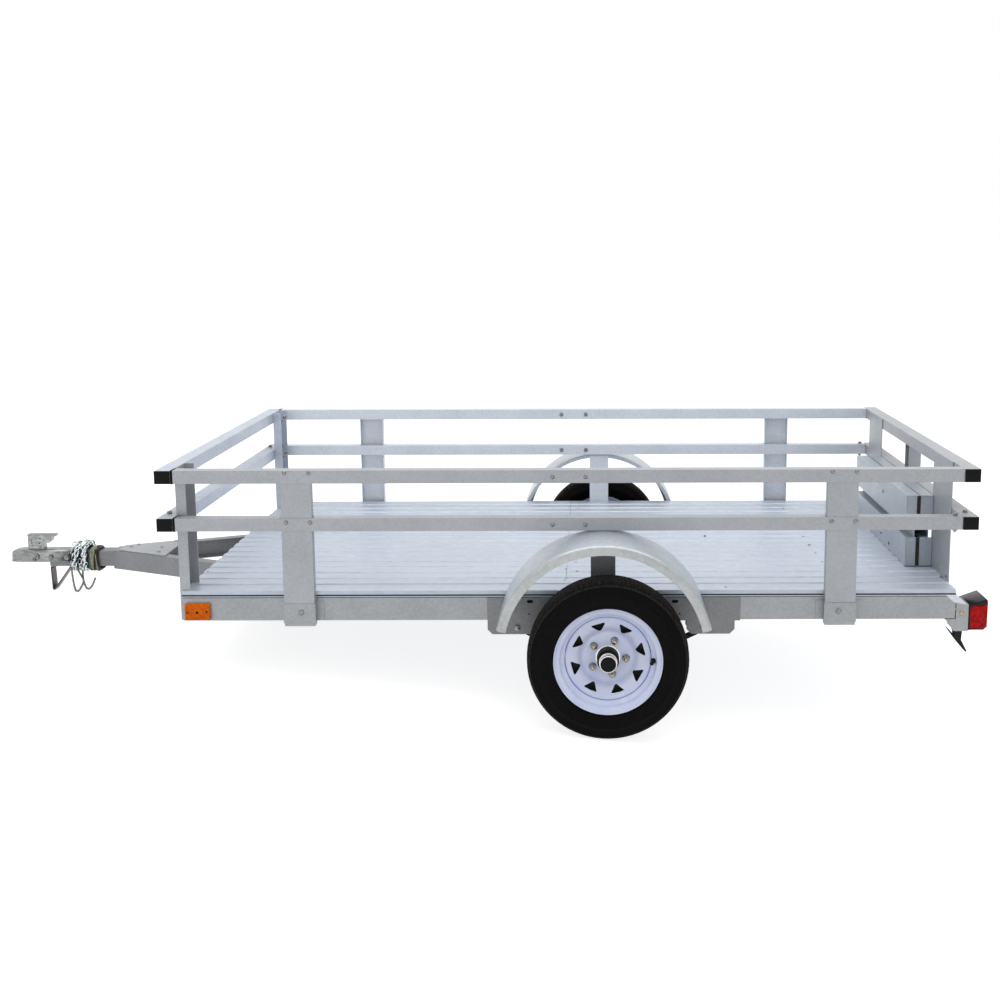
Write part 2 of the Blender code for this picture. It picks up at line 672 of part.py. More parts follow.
def spring_outline():
    """Side view of the leaf pack: main leaf on top, shorter leaves stepped below it."""
    front = SPRING_EYE_FRONT_X
    rear = SPRING_EYE_REAR_X
    lip = math.asin(SPRING_LEAF / 2 / SPRING_EYE_RADIUS)
    first = front + SPRING_EYE_RADIUS * 2
    last = rear - SPRING_EYE_RADIUS * 2
    xs = [first + (last - first) * i / SPRING_SEGMENTS for i in range(SPRING_SEGMENTS + 1)]
    ends = [front + SPRING_LEAF_STEP * (k + 1) for k in range(SPRING_LEAVES - 1)]
    stations = sorted(xs + ends + [front + rear - e for e in ends])

    def leaves_at(x):
        return 1 + sum(1 for e in ends if e < x < front + rear - e)

    bottom = []
    for a, b in zip(stations, stations[1:]):
        drop = SPRING_LEAF * (leaves_at((a + b) / 2) - 1)
        bottom += [(x, spring_z(x) - drop) for x in (a, b)]
    bottom = [p for i, p in enumerate(bottom) if i == 0 or p != bottom[i - 1]]
    top = [(x, spring_z(x) + SPRING_LEAF) for x in reversed(xs)]
    front_eye = arc((front, SPRING_EYE_Z), SPRING_EYE_RADIUS, lip, math.tau - lip, SPRING_SEGMENTS)
    rear_eye = arc((rear, SPRING_EYE_Z), SPRING_EYE_RADIUS, lip - math.pi, math.pi - lip,
                   SPRING_SEGMENTS)
    return front_eye + bottom + rear_eye + top


def leaf_spring(label, side):
    y0, y1 = spring_range(side)
    prism(f"leaf_spring_{label}", spring_outline(), y0, y1, ALONG_Y, "black_steel")


def spring_range(side):
    """The spring's Y range, between the hanger's two plates."""
    outer = FRAME_HALF_WIDTH + SEAT + SLEEVE_SHEET - HANGER_PLATE - SEAT
    return mirror_y(side, outer - SPRING_WIDTH, outer)


def sleeve(label, side):
    """Splice plate on the frame rail, with the two spring hangers welded under it."""
    face = FRAME_HALF_WIDTH + SEAT
    skin = face + SLEEVE_SHEET
    inner = skin - 2 * HANGER_PLATE - 2 * SEAT - SPRING_WIDTH
    under = FRAME_BOTTOM - SEAT
    path = [(side * inner, under), (side * face, under), (side * face, FRAME_TOP)]
    outline = strip(path, -side * SLEEVE_SHEET)
    plate = prism(f"splice_sleeve_{label}", outline, SLEEVE_FRONT, SLEEVE_REAR, ALONG_X,
                  "galvanised")
    for i, (front, rear) in enumerate(HANGERS):
        top = under - SLEEVE_SHEET + WELD_OVERLAP
        shape = [(front, top), (front, HANGER_BOTTOM + HANGER_CHAMFER),
                 (front + HANGER_CHAMFER, HANGER_BOTTOM), (rear - HANGER_CHAMFER, HANGER_BOTTOM),
                 (rear, HANGER_BOTTOM + HANGER_CHAMFER), (rear, top)]
        for j, outer in enumerate((skin, inner + HANGER_PLATE)):
            y0, y1 = mirror_y(side, outer - HANGER_PLATE, outer)
            name = f"hanger_{label}_{i}_{j}"
            boolean(plate, "UNION",
                    add_cutter(name, prism_mesh(name, [shape], y0, y1, ALONG_Y)))


def axle():
    """Round beam with a spring pad under each side and a spindle at each end."""
    shoulder = WHEEL_CENTRE_Y - HUB_BACK - SPINDLE_BACK
    tip = WHEEL_CENTRE_Y + SPINDLE_TIP_Z
    half = [(SPINDLE_RADIUS, tip), (SPINDLE_RADIUS, shoulder), (AXLE_RADIUS, shoulder)]
    profile = [(0.0, tip), *half, *[(r, -z) for r, z in reversed(half)], (0.0, -tip)]
    beam = turned("axle_beam", profile, AXLE_SIDES, "black_steel", ROOT, closed=False)
    beam.rotation_euler = (math.pi / 2, 0, 0)
    beam.location = (0, 0, AXLE_Z)
    for label, side in SIDES:
        y0, y1 = spring_range(side)
        pad = box_mesh(f"axle_pad_{label}",
                       (-AXLE_PAD_LENGTH / 2, y0, AXLE_Z - AXLE_RADIUS - AXLE_PAD),
                       (AXLE_PAD_LENGTH / 2, y1, AXLE_Z))
        boolean(beam, "UNION", add_cutter(f"axle_pad_{label}", pad))


def tyre_profile():
    """U section, open toward the rim."""
    half = TYRE_HALF_WIDTH
    bead = BEAD_SEAT_RADIUS + SEAT
    lip = RIM_HALF_WIDTH - RIM_FLANGE_ROLL - SEAT
    over = RIM_FLANGE_RADIUS + TYRE_RIM_GAP
    wall = SIDEWALL_HEIGHT
    outer = [(bead, lip), (over, lip)]
    outer += [(over + wall * rise, half * wide) for rise, wide in TYRE_OUTER_SHARES]
    inner = [(over + wall * rise, half * wide) for rise, wide in TYRE_INNER_SHARES]
    inner += [(bead + TYRE_BEAD_HEIGHT, half * TYRE_BEAD_SHARE), (bead, half * TYRE_BEAD_SHARE)]
    return outer + [(r, -z) for r, z in reversed(outer)] + \
        [(r, -z) for r, z in reversed(inner)] + inner


def rim_profile():
    """Barrel with a drop centre, and the disc dished outward from it."""
    wall = RIM_WALL
    flange = RIM_FLANGE_RADIUS
    half = RIM_HALF_WIDTH
    outer = [(flange, half), (flange, half - wall), (BEAD_SEAT_RADIUS, BEAD_SEAT_HALF),
             (BEAD_SEAT_RADIUS, BEAD_SEAT_INNER), (RIM_WELL_RADIUS, RIM_WELL_HALF)]
    inner = [(flange - wall, half), (BEAD_SEAT_RADIUS - wall, BEAD_SEAT_HALF + wall),
             (BEAD_SEAT_RADIUS - wall, BEAD_SEAT_INNER),
             (RIM_WELL_RADIUS - wall, RIM_WELL_HALF)]
    face = DISC_FACE_Z
    root = DISC_ROOT_Z
    disc_back = [(RIM_WELL_RADIUS - wall, root), (DISC_FLAT_RADIUS, face - DISC_SHEET),
                 (DISC_BORE, face - DISC_SHEET)]
    disc_front = [(DISC_BORE, face), (DISC_FLAT_RADIUS, face),
                  (RIM_WELL_RADIUS - wall, root + DISC_SHEET)]
    return outer + [(r, -z) for r, z in reversed(outer)] + \
        [(r, -z) for r, z in inner] + disc_back + disc_front + list(reversed(inner))


def window_cutters(label, parent):
    """Rounded triangles, points inward, cut right through the disc."""
    bm = bmesh.new()
    for k in range(WINDOW_COUNT):
        turn = math.tau * k / WINDOW_COUNT + WINDOW_START
        bmesh.ops.create_cone(bm, cap_ends=True, cap_tris=False, segments=WINDOW_SIDES,
                              radius1=1.0, radius2=1.0, depth=RIM_HALF_WIDTH * 2,
                              matrix=Matrix.Rotation(turn, 4, "Z"))
        for v in list(bm.verts)[-2 * WINDOW_SIDES:]:
            flat = Matrix.Rotation(-turn, 3, "Z") @ v.co
            angle = math.atan2(flat.y, flat.x)
            size = WINDOW_SIZE * (1.0 - WINDOW_POINTED_SHARE * math.cos(3 * angle))
            out = WINDOW_RADIUS + size * WINDOW_RADIAL_SHARE * math.cos(angle)
            flat = Vector((out, size * math.sin(angle), flat.z))
            v.co = Matrix.Rotation(turn, 3, "Z") @ flat
    mesh = bpy.data.meshes.new(f"rim_windows_{label}")
    bm.to_mesh(mesh)
    bm.free()
    return add_cutter(f"rim_windows_{label}", mesh, parent)


def hub_profile():
    """Hub with a blind bore for the spindle, and the dust cap on its nose."""
    face = DISC_FACE_Z
    back = face - DISC_SHEET - SEAT
    cap_end = face + SEAT + CAP_LENGTH
    bore = SPINDLE_RADIUS + SPINDLE_PLAY
    return [(0.0, cap_end + CAP_NOSE_LENGTH), (CAP_NOSE_RADIUS, cap_end + CAP_NOSE_LENGTH),
            (CAP_NOSE_RADIUS, cap_end), (CAP_RADIUS - CAP_CHAMFER, cap_end),
            (CAP_RADIUS, cap_end - CAP_CHAMFER), (CAP_RADIUS, face + SEAT),
            (DISC_BORE - SEAT, face + SEAT), (DISC_BORE - SEAT, back), (HUB_FLANGE_RADIUS, back),
            (HUB_FLANGE_RADIUS, back - HUB_FLANGE_THICKNESS),
            (HUB_BARREL_RADIUS, back - HUB_FLANGE_THICKNESS), (HUB_BARREL_RADIUS, -HUB_BACK),
            (bore, -HUB_BACK), (bore, SPINDLE_TIP_Z + SPINDLE_PLAY),
            (0.0, SPINDLE_TIP_Z + SPINDLE_PLAY)]


def wheel(label, side):
    hub = bpy.data.objects.new(f"wheel_axis_{label}", None)
    PARTS.objects.link(hub)
    hub.parent = ROOT
    hub.location = (0, side * WHEEL_CENTRE_Y, AXLE_Z)
    hub.rotation_euler = (-side * math.pi / 2, 0, 0)
    turned(f"tyre_{label}", tyre_profile(), TURN_STEPS, "rubber", hub)
    rim = turned(f"rim_{label}", rim_profile(), TURN_STEPS, "white_paint", hub)
    boolean(rim, "DIFFERENCE", window_cutters(label, hub))
    turned(f"hub_{label}", hub_profile(), SMALL_TURN_STEPS, "black_steel", hub, closed=False)


# Fenders

def fender(label, side):
    """Round fender: a bent strip swept over the wheel, with a rolled lip outside."""
    inner_y = FRAME_HALF_WIDTH + SEAT + SLEEVE_SHEET + SEAT + FENDER_BAR_SHEET + SEAT
    outer_y = FRAME_HALF_WIDTH + FENDER_WIDTH
    top = FENDER_RADIUS
    path = [(outer_y, top - FENDER_LIP), (outer_y, top - FENDER_ROLL), (outer_y - FENDER_ROLL, top),
            (inner_y, top), (inner_y, top - FENDER_INNER_FLANGE)]
    section = strip(path, FENDER_SHEET)
    bm = bmesh.new()
    verts = [bm.verts.new((r, side * y, 0.0)) for y, r in section]
    face = bm.faces.new(verts)
    start = Matrix.Rotation(-FENDER_END_ANGLE, 3, "Y")
    bmesh.ops.rotate(bm, verts=bm.verts, cent=(0, 0, 0), matrix=start)
    sweep = math.pi - 2 * FENDER_END_ANGLE
    bmesh.ops.spin(bm, geom=[*face.verts, *face.edges, face], cent=(0, 0, 0), axis=(0, -1, 0),
                   angle=sweep, steps=FENDER_STEPS, use_duplicate=False)
    bmesh.ops.translate(bm, verts=bm.verts, vec=(FENDER_CENTRE_X, 0, FENDER_CENTRE_Z))
    bmesh.ops.recalc_face_normals(bm, faces=bm.faces)
    mesh = bpy.data.meshes.new(f"fender_{label}")
    bm.to_mesh(mesh)
    bm.free()
    add_object(f"fender_{label}", mesh, "galvanised")
    y0, y1 = mirror_y(side, inner_y - SEAT - FENDER_BAR_SHEET, inner_y - SEAT)
    bar = box_mesh(f"fender_bar_{label}",
                   (FENDER_BAR_X - FENDER_BAR_WIDTH / 2, y0, FRAME_BOTTOM + FENDER_BAR_FOOT),
                   (FENDER_BAR_X + FENDER_BAR_WIDTH / 2, y1,
                    FENDER_CENTRE_Z + FENDER_RADIUS - FENDER_ROLL))
    add_object(f"fender_bar_{label}", bar, "galvanised")


# Tongue

def tongue_arm(label, side):
    """Channel from the tongue tube, through the front member, to the first cross member."""
    end_x = CROSS_MEMBER_XS[0] - SEAT
    length = (end_x - ARM_APEX_X) / math.cos(ARM_ANGLE) + ARM_FLANGE
    back = side * ARM_WALL
    outline = channel(back, back - side * ARM_FLANGE, ARM_BOTTOM, ARM_BOTTOM + ARM_HEIGHT, ARM_WALL)
    mesh = prism_mesh(f"tongue_arm_{label}", [outline], -ARM_FLANGE, length, ALONG_X)
    place = Matrix.Translation((ARM_APEX_X, side * (TONGUE_HALF_WIDTH + SEAT), 0))
    mesh.transform(place @ Matrix.Rotation(side * ARM_ANGLE, 4, "Z"))
    arm = add_object(f"tongue_arm_{label}", mesh, "galvanised")
    low = ARM_BOTTOM - OVERRUN
    high = ARM_BOTTOM + ARM_HEIGHT + OVERRUN
    tail = box_mesh(f"arm_tail_{label}", (end_x, -FRAME_HALF_WIDTH, low),
                    (end_x + length, FRAME_HALF_WIDTH, high))
    head = box_mesh(f"arm_head_{label}", (ARM_APEX_X - length, -FRAME_HALF_WIDTH, low),
                    (ARM_APEX_X, FRAME_HALF_WIDTH, high))
    y0, y1 = mirror_y(side, SEAT / 2, -FRAME_HALF_WIDTH)
    middle = box_mesh(f"arm_middle_{label}", (ARM_APEX_X - length, y0, low),
                      (end_x + OVERRUN, y1, high))
    for name, cut in (("tail", tail), ("head", head), ("middle", middle)):
        boolean(arm, "DIFFERENCE", add_cutter(f"arm_{name}_{label}", cut))


def tongue_heights():
    """The tongue tube's bottom and top, its top under the arms' upper flanges."""
    high = ARM_BOTTOM + ARM_HEIGHT - ARM_WALL - SEAT
    return high - TONGUE_HEIGHT, high


def tongue():
    low, high = tongue_heights()
    half = TONGUE_HALF_WIDTH
    prism("tongue_tube", rectangle(-half, half, low, high), TONGUE_FRONT, TONGUE_REAR, ALONG_X,
          "galvanised",
          [rectangle(-half + TONGUE_WALL, half - TONGUE_WALL, low + TONGUE_WALL,
                     high - TONGUE_WALL)])
    top = ARM_BOTTOM + ARM_HEIGHT + SEAT
    x0 = ARM_APEX_X + GUSSET_SET_BACK
    x1 = x0 + GUSSET_LENGTH
    front = arm_line(1, x0) - GUSSET_EDGE
    rear = arm_line(1, x1) - GUSSET_EDGE
    prism("tongue_gusset", [(x0, -front), (x1, -rear), (x1, rear), (x0, front)],
          top, top + GUSSET_SHEET, ALONG_Z, "galvanised")


def coupler():
    """Pressed coupler: an inverted channel over the tongue that closes to a ball socket."""
    half = TONGUE_HALF_WIDTH + SEAT + COUPLER_SHEET
    plan = [(COUPLER_NOSE, -COUPLER_NOSE_FLAT), (COUPLER_NOSE + COUPLER_NOSE_TAPER, -half),
            (COUPLER_REAR, -half), (COUPLER_REAR, half), (COUPLER_NOSE + COUPLER_NOSE_TAPER, half),
            (COUPLER_NOSE, COUPLER_NOSE_FLAT)]
    body = prism("coupler", plan, COUPLER_BOTTOM, COUPLER_TOP, ALONG_Z, "zinc")
    tube_top = tongue_heights()[1] + SEAT
    room = box_mesh("coupler_room", (TONGUE_FRONT - FIT, -half + COUPLER_SHEET,
                                     COUPLER_BOTTOM - OVERRUN),
                    (COUPLER_REAR + OVERRUN, half - COUPLER_SHEET, tube_top))
    slope = prism_mesh("coupler_slope", [[
        (COUPLER_NOSE - OVERRUN, COUPLER_TOP - COUPLER_NOSE_DROP),
        (COUPLER_NOSE, COUPLER_TOP - COUPLER_NOSE_DROP),
        (COUPLER_NOSE + COUPLER_NOSE_TAPER, COUPLER_TOP),
        (COUPLER_NOSE + COUPLER_NOSE_TAPER, COUPLER_TOP + OVERRUN),
        (COUPLER_NOSE - OVERRUN, COUPLER_TOP + OVERRUN)]], -half - OVERRUN, half + OVERRUN, ALONG_Y)
    socket_x = COUPLER_NOSE + SOCKET_SET_BACK
    socket = bpy.data.meshes.new("coupler_socket")
    bm = bmesh.new()
    depth = COUPLER_TOP - COUPLER_NOSE_DROP - COUPLER_SHEET - COUPLER_BOTTOM
    centre_z = COUPLER_BOTTOM + (depth - OVERRUN) / 2
    bmesh.ops.create_cone(bm, cap_ends=True, segments=SOCKET_SIDES, radius1=SOCKET_RADIUS,
                          radius2=SOCKET_RADIUS, depth=depth + OVERRUN,
                          matrix=Matrix.Translation((socket_x, 0, centre_z)))
    bm.to_mesh(socket)
    bm.free()
    for name, cut in (("coupler_room", room), ("coupler_slope", slope),
                      ("coupler_socket", socket)):
        boolean(body, "DIFFERENCE", add_cutter(name, cut))


def latch():
    """Lever block on the coupler, its finger hooked down behind."""
    base = COUPLER_TOP + SEAT
    top = base + LATCH_HEIGHT
    front = COUPLER_NOSE + LATCH_SET_BACK
    body_rear = front + LATCH_BODY_LENGTH
    rear = front + LATCH_LENGTH
    under = top - LATCH_PLATE
    finger = [(body_rear + behind, under - drop) for behind, drop in LATCH_FINGER]
    outline = [(front, base), (body_rear, base), *finger, (rear, under), (rear, top), (front, top)]
    prism("coupler_latch", outline, -LATCH_WIDTH / 2, LATCH_WIDTH / 2, ALONG_Y, "zinc")


def stand():
    """Flat bar bent to a V, its two tabs under the tongue tube and its bend on the ground."""
    top = tongue_heights()[0] - SEAT
    foot = (STAND_FOOT_X + STAND_FOOT_RADIUS, STAND_FOOT_Z)
    back = STAND_LEG_X + STAND_SPREAD
    rise = math.atan2(top - STAND_FOOT_Z, back - foot[0])
    path = [(STAND_LEG_X + STAND_TAB, top - STAND_BAR), (STAND_LEG_X, top - STAND_BAR)]
    path += arc(foot, STAND_FOOT_RADIUS, math.pi, 1.5 * math.pi + rise, STAND_BEND_STEPS)
    path += [(back, top - STAND_BAR), (back + STAND_TAB, top - STAND_BAR)]
    prism("tongue_stand", strip(path, STAND_BAR), -STAND_WIDTH / 2, STAND_WIDTH / 2, ALONG_Y,
          "zinc")


def wound_ring(name, front, length, thickness, finish):
    """A band wound round the tongue tube, round outside and square inside."""
    low, high = tongue_heights()
    middle = (low + high) / 2
    radius = math.hypot(TONGUE_HALF_WIDTH, (high - low) / 2) + thickness
    outer = arc((0.0, middle), radius, 0.0, math.tau, CHAIN_FACETS)[:-1]
    half = TONGUE_HALF_WIDTH + SEAT
    inner = rectangle(-half, half, low - SEAT, high + SEAT)
    return prism(name, outer, front, front + length, ALONG_X, finish, [inner])


def chains_and_harness():
    """The wound chains with their two open hooks, and the wound wiring behind them."""
    chains = wound_ring("safety_chains", CHAIN_FRONT, CHAIN_LENGTH, CHAIN_THICKNESS, "zinc")
    low, high = tongue_heights()
    outer = -(math.hypot(TONGUE_HALF_WIDTH, (high - low) / 2) + CHAIN_THICKNESS - HOOK_INSET)
    for i, bends in enumerate(HOOK_BENDS):
        path = [(CHAIN_FRONT + behind, (low + high) / 2 - drop) for behind, drop in bends]
        hook = prism_mesh(f"chain_hook_{i}", [strip(path, HOOK_WIRE)], outer, outer + HOOK_WIRE,
                          ALONG_Y)
        boolean(chains, "UNION", add_cutter(f"chain_hook_{i}", hook))
    wound_ring("wiring_harness", HARNESS_FRONT, HARNESS_LENGTH, HARNESS_THICKNESS, "cable")


# Lamps

def tail_lamp(label, side):
    """Box lamp with a hood that rises toward the rear."""
    outline = [(LAMP_FRONT + behind, LAMP_BOTTOM + height) for behind, height in LAMP_SECTION]
    outer = FRAME_HALF_WIDTH - LAMP_INSET
    y0, y1 = mirror_y(side, outer - LAMP_WIDTH, outer)
    prism(f"tail_lamp_{label}", outline, y0, y1, ALONG_Y, "red_lens")


def lamp_bracket(label, side):
    """Channel bolted to the frame's end, with the lamp on its back."""
    face = FRAME_HALF_WIDTH
    back = LAMP_FRONT - SEAT
    front = FRAME_REAR + SEAT
    path = [(front, side * (face - BRACKET_LEG)), (front, side * face), (back, side * face),
            (back, side * (face - BRACKET_LEG))]
    bracket = prism(f"lamp_bracket_{label}", strip(path, -side * BRACKET_SHEET), BRACKET_BOTTOM,
                    BRACKET_TOP, ALONG_Z, "galvanised")
    y0, y1 = mirror_y(side, face - BRACKET_LEG + WELD_OVERLAP, face - WELD_OVERLAP)
    roof = box_mesh(f"bracket_roof_{label}",
                    (front + WELD_OVERLAP, y0, BRACKET_TOP - WELD_OVERLAP - BRACKET_SHEET),
                    (back - WELD_OVERLAP, y1, BRACKET_TOP - WELD_OVERLAP))
    low = BRACKET_BOTTOM + WELD_OVERLAP
    high = FRAME_BOTTOM - SEAT
    outline = [(FRAME_REAR - BRACKET_CORNER, high), (FRAME_REAR - BRACKET_CORNER_FOOT, low),
               (front + BRACKET_SHEET, low), (front + BRACKET_SHEET, high)]
    y0, y1 = mirror_y(side, face - BRACKET_SHEET + SEAT, face - SEAT)
    corner = prism_mesh(f"bracket_corner_{label}", [outline], y0, y1, ALONG_Y)
    for name, piece in (("roof", roof), ("corner", corner)):
        boolean(bracket, "UNION", add_cutter(f"bracket_{name}_{label}", piece))


def plate_holder():
    """Blank black plate holder that hangs under the near lamp bracket."""
    y0 = -FRAME_HALF_WIDTH + LAMP_INSET
    outline = [(FRAME_REAR + behind, BRACKET_BOTTOM - drop)
               for behind, drop in PLATE_HOLDER_SECTION]
    prism("plate_holder", outline, y0, y0 + PLATE_HOLDER_WIDTH, ALONG_Y, "black_steel")


def side_marker(label, side):
    face = FRAME_HALF_WIDTH + SEAT
    front = FRAME_FRONT + MARKER_SET_BACK
    y0, y1 = mirror_y(side, face, face + MARKER_DEPTH)
    mesh = box_mesh(f"side_marker_{label}", (front, y0, MARKER_BOTTOM),
                    (front + MARKER_LENGTH, y1, MARKER_BOTTOM + MARKER_HEIGHT))
    add_object(f"side_marker_{label}", mesh, "amber_lens")


# Ramp

def ramp():
    """Two leaves of the folded loading ramp, each a lower and an upper channel with a web."""
    low = DECK_TOP + RAMP_BOTTOM_GAP
    first = low + RAMP_LOWER_CHANNEL
    second = first + RAMP_MIDDLE
    top = second + RAMP_UPPER_CHANNEL
    half = FRAME_HALF_WIDTH - REAR_POST_INSET - REAR_POST_WIDTH / 2 + RAMP_OVERLAP
    for name, ahead in RAMP_LEAVES:
        front = FRAME_REAR - ahead
        rear = front + RAMP_DEPTH
        web = front + RAMP_RECESS
        path = [(rear, low), (front, low), (front, first), (web, first), (web, second),
                (front, second), (front, top), (rear, top)]
        leaf = prism(name, strip(path[::-1], RAMP_SHEET), -half, half, ALONG_Y, "galvanised")
        for i, (bottom, height) in enumerate(((low, RAMP_LOWER_CHANNEL),
                                              (second, RAMP_UPPER_CHANNEL))):
            for j, (_, side) in enumerate(SIDES):
                y0, y1 = mirror_y(side, half - RAMP_SHEET - WELD_OVERLAP, half - WELD_OVERLAP)
                cap = box_mesh(f"{name}_cap_{i}_{j}",
                               (front + WELD_OVERLAP, y0, bottom + WELD_OVERLAP),
                               (rear - WELD_OVERLAP, y1, bottom + height - WELD_OVERLAP))
                boolean(leaf, "UNION", add_cutter(f"{name}_cap_{i}_{j}", cap))


def park():
    """Tip the trailer nose-down onto its stand and set it over the origin, on the ground."""
    reach = -(STAND_FOOT_X + STAND_FOOT_RADIUS)
    above = AXLE_Z - STAND_FOOT_Z
    sole = TYRE_RADIUS - STAND_FOOT_RADIUS
    pitch = math.asin(sole / math.hypot(reach, above)) - math.atan2(above, reach)
    ROOT.rotation_euler = (0, -pitch, 0)
    bpy.context.view_layer.update()
    depsgraph = bpy.context.evaluated_depsgraph_get()
    corners = []
    for obj in PARTS.objects:
        if obj.type != "MESH":
            continue
        evaluated = obj.evaluated_get(depsgraph)
        corners += [evaluated.matrix_world @ v.co for v in evaluated.data.vertices]
    low = [min(c[k] for c in corners) for k in range(3)]
    high = [max(c[k] for c in corners) for k in range(3)]
    ROOT.location = (-(low[0] + high[0]) / 2, -(low[1] + high[1]) / 2, -low[2])
    bpy.context.view_layer.update()


for side_name, side_sign in SIDES:
    side_frame_rail(side_name, side_sign)
    sleeve(side_name, side_sign)
    leaf_spring(side_name, side_sign)
    wheel(side_name, side_sign)
    fender(side_name, side_sign)
    for row_name, row_x in zip(("front", "rear"), SIDE_POST_XS):
        side_post(side_name, side_sign, row_name, row_x)
    front_post(side_name, side_sign)
    for ring_level in RING_TOPS:
        side_rail(side_name, side_sign, ring_level)
    tongue_arm(side_name, side_sign)
    tail_lamp(side_name, side_sign)
    lamp_bracket(side_name, side_sign)
    side_marker(side_name, side_sign)
for ring_level in RING_TOPS:
    end_rail("front", ring_level)
    end_rail("rear", ring_level)
end_members()
cross_members()
deck()
rear_posts()
axle()
tongue()
coupler()
latch()
stand()
chains_and_harness()
plate_holder()
ramp()
park()
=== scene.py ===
import json
from math import asin, atan2, copysign, cos, degrees, hypot, pi, radians, sin, sqrt, tau

import bmesh
import bpy
from mathutils import Matrix, Vector


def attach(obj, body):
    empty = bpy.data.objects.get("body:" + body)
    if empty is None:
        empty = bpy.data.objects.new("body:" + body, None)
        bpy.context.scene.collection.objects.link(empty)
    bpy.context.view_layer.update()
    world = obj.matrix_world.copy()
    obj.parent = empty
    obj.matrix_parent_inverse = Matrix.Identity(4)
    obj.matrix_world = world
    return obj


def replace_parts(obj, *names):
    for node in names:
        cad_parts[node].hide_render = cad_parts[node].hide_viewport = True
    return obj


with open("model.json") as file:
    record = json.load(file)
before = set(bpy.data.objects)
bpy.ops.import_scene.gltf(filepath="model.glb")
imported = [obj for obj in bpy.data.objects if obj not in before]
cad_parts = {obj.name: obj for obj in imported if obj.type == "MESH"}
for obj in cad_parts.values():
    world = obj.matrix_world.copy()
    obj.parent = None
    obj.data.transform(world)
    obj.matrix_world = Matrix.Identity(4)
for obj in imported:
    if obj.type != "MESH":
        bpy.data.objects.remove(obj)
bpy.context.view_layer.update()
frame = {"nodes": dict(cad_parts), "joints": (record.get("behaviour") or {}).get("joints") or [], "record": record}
scene = bpy.context.scene
nodes = frame["nodes"]
mounts = {m["name"]: m for m in frame["record"]["mounts"]}
sides = (("near", -1), ("far", 1))

# The trailer is parked nose-down. New pieces are drawn level, with x = 0 over the axle and
# z = 0 under the tyres, and tipped with it by this matrix
axleHeight = 0.255
up = Vector(mounts["deck_front_face"]["axis"]).normalized()
ahead = Vector((up.z, 0, -up.x))
axlePoint = Vector(frame["joints"][0]["pos_m"])
axlePoint.y = 0
tip = Matrix((ahead, (0, 1, 0), up)).transposed().to_4x4()
tip.translation = axlePoint - up * axleHeight
print("frame loaded, tipped by", round(degrees(asin(-up.x)), 2), "degrees")


# Camera, as solved from the photo's edges: pixels, metres and radians in the level frame
photoCamera = {
    "focal": 1259.3, "middle": (586.8, 425.9), "at": (-0.063, -4.673, 1.558), "yaw": -0.0004,
    "pitch": 0.1481, "roll": -0.0025, "picture": 1000, "sensor": 36, "farthest": 200,
}


def showObject(name, data):
    obj = bpy.data.objects.new(name, data)
    scene.collection.objects.link(obj)
    return obj


def placeCamera(c):
    data = bpy.data.cameras.new("photoCamera")
    data.sensor_width = c["sensor"]
    data.lens = c["sensor"] * c["focal"] / c["picture"]
    data.shift_x = 0.5 - c["middle"][0] / c["picture"]
    data.shift_y = c["middle"][1] / c["picture"] - 0.5
    data.clip_end = c["farthest"]
    turn = (Matrix.Rotation(-c["yaw"], 4, "Z") @ Matrix.Rotation(pi / 2 - c["pitch"], 4, "X")
            @ Matrix.Rotation(c["roll"], 4, "Z"))
    camera = showObject("photoCamera", data)
    camera.matrix_world = tip @ Matrix.Translation(c["at"]) @ turn
    scene.camera = camera


placeCamera(photoCamera)
print("camera placed")


# Finishes. Colours are linear; sizes in the patterns are in metres
zincFinishes = {     # light colour, dark colour, roughness, metallic, spangle size, stretch along x
    "frameZinc": ((0.41, 0.425, 0.445), (0.315, 0.33, 0.345)),
    "tubeZinc": ((0.43, 0.445, 0.47), (0.35, 0.365, 0.385), 0.44, 0.45, 0.005),
    # the far pieces' zinc, made lighter: painted light
    "paintedLightZinc": ((0.75, 0.79, 0.85), (0.6, 0.64, 0.69), 0.44, 0.45, 0.005),
    # a darker copy of the zinc for parts that sit in shade: painted shade
    "paintedShadeZinc": ((0.25, 0.255, 0.265), (0.19, 0.195, 0.2)),
    # the deck's own zinc; on the front rails and the far front post it is painted light
    "deckAndPaintedLightZinc": ((0.54, 0.59, 0.67), (0.46, 0.51, 0.585), 0.42, 0.4, 0.012, 0.5),
    "fenderZinc": ((0.55, 0.59, 0.64), (0.44, 0.48, 0.52), 0.36, 0.6, 0.009),
    # the fender lip's copy of the zinc, toned for how light falls on it: painted light and shade
    "lipPaintedLightZinc": ((0.56, 0.58, 0.58), (0.4, 0.42, 0.42), 0.3, 0.35, 0.009),
    "tongueZinc": ((0.275, 0.28, 0.295), (0.22, 0.225, 0.24)),
    "standSteel": ((0.115, 0.108, 0.102), (0.07, 0.066, 0.062), 0.4, 0.6, 0.006),
    "couplerZinc": ((0.46, 0.48, 0.47), (0.17, 0.18, 0.175), 0.22, 0.8, 0.007, 0.4),
    "rampZinc": ((0.44, 0.485, 0.535), (0.36, 0.4, 0.44), 0.4, 0.5, 0.006),
}
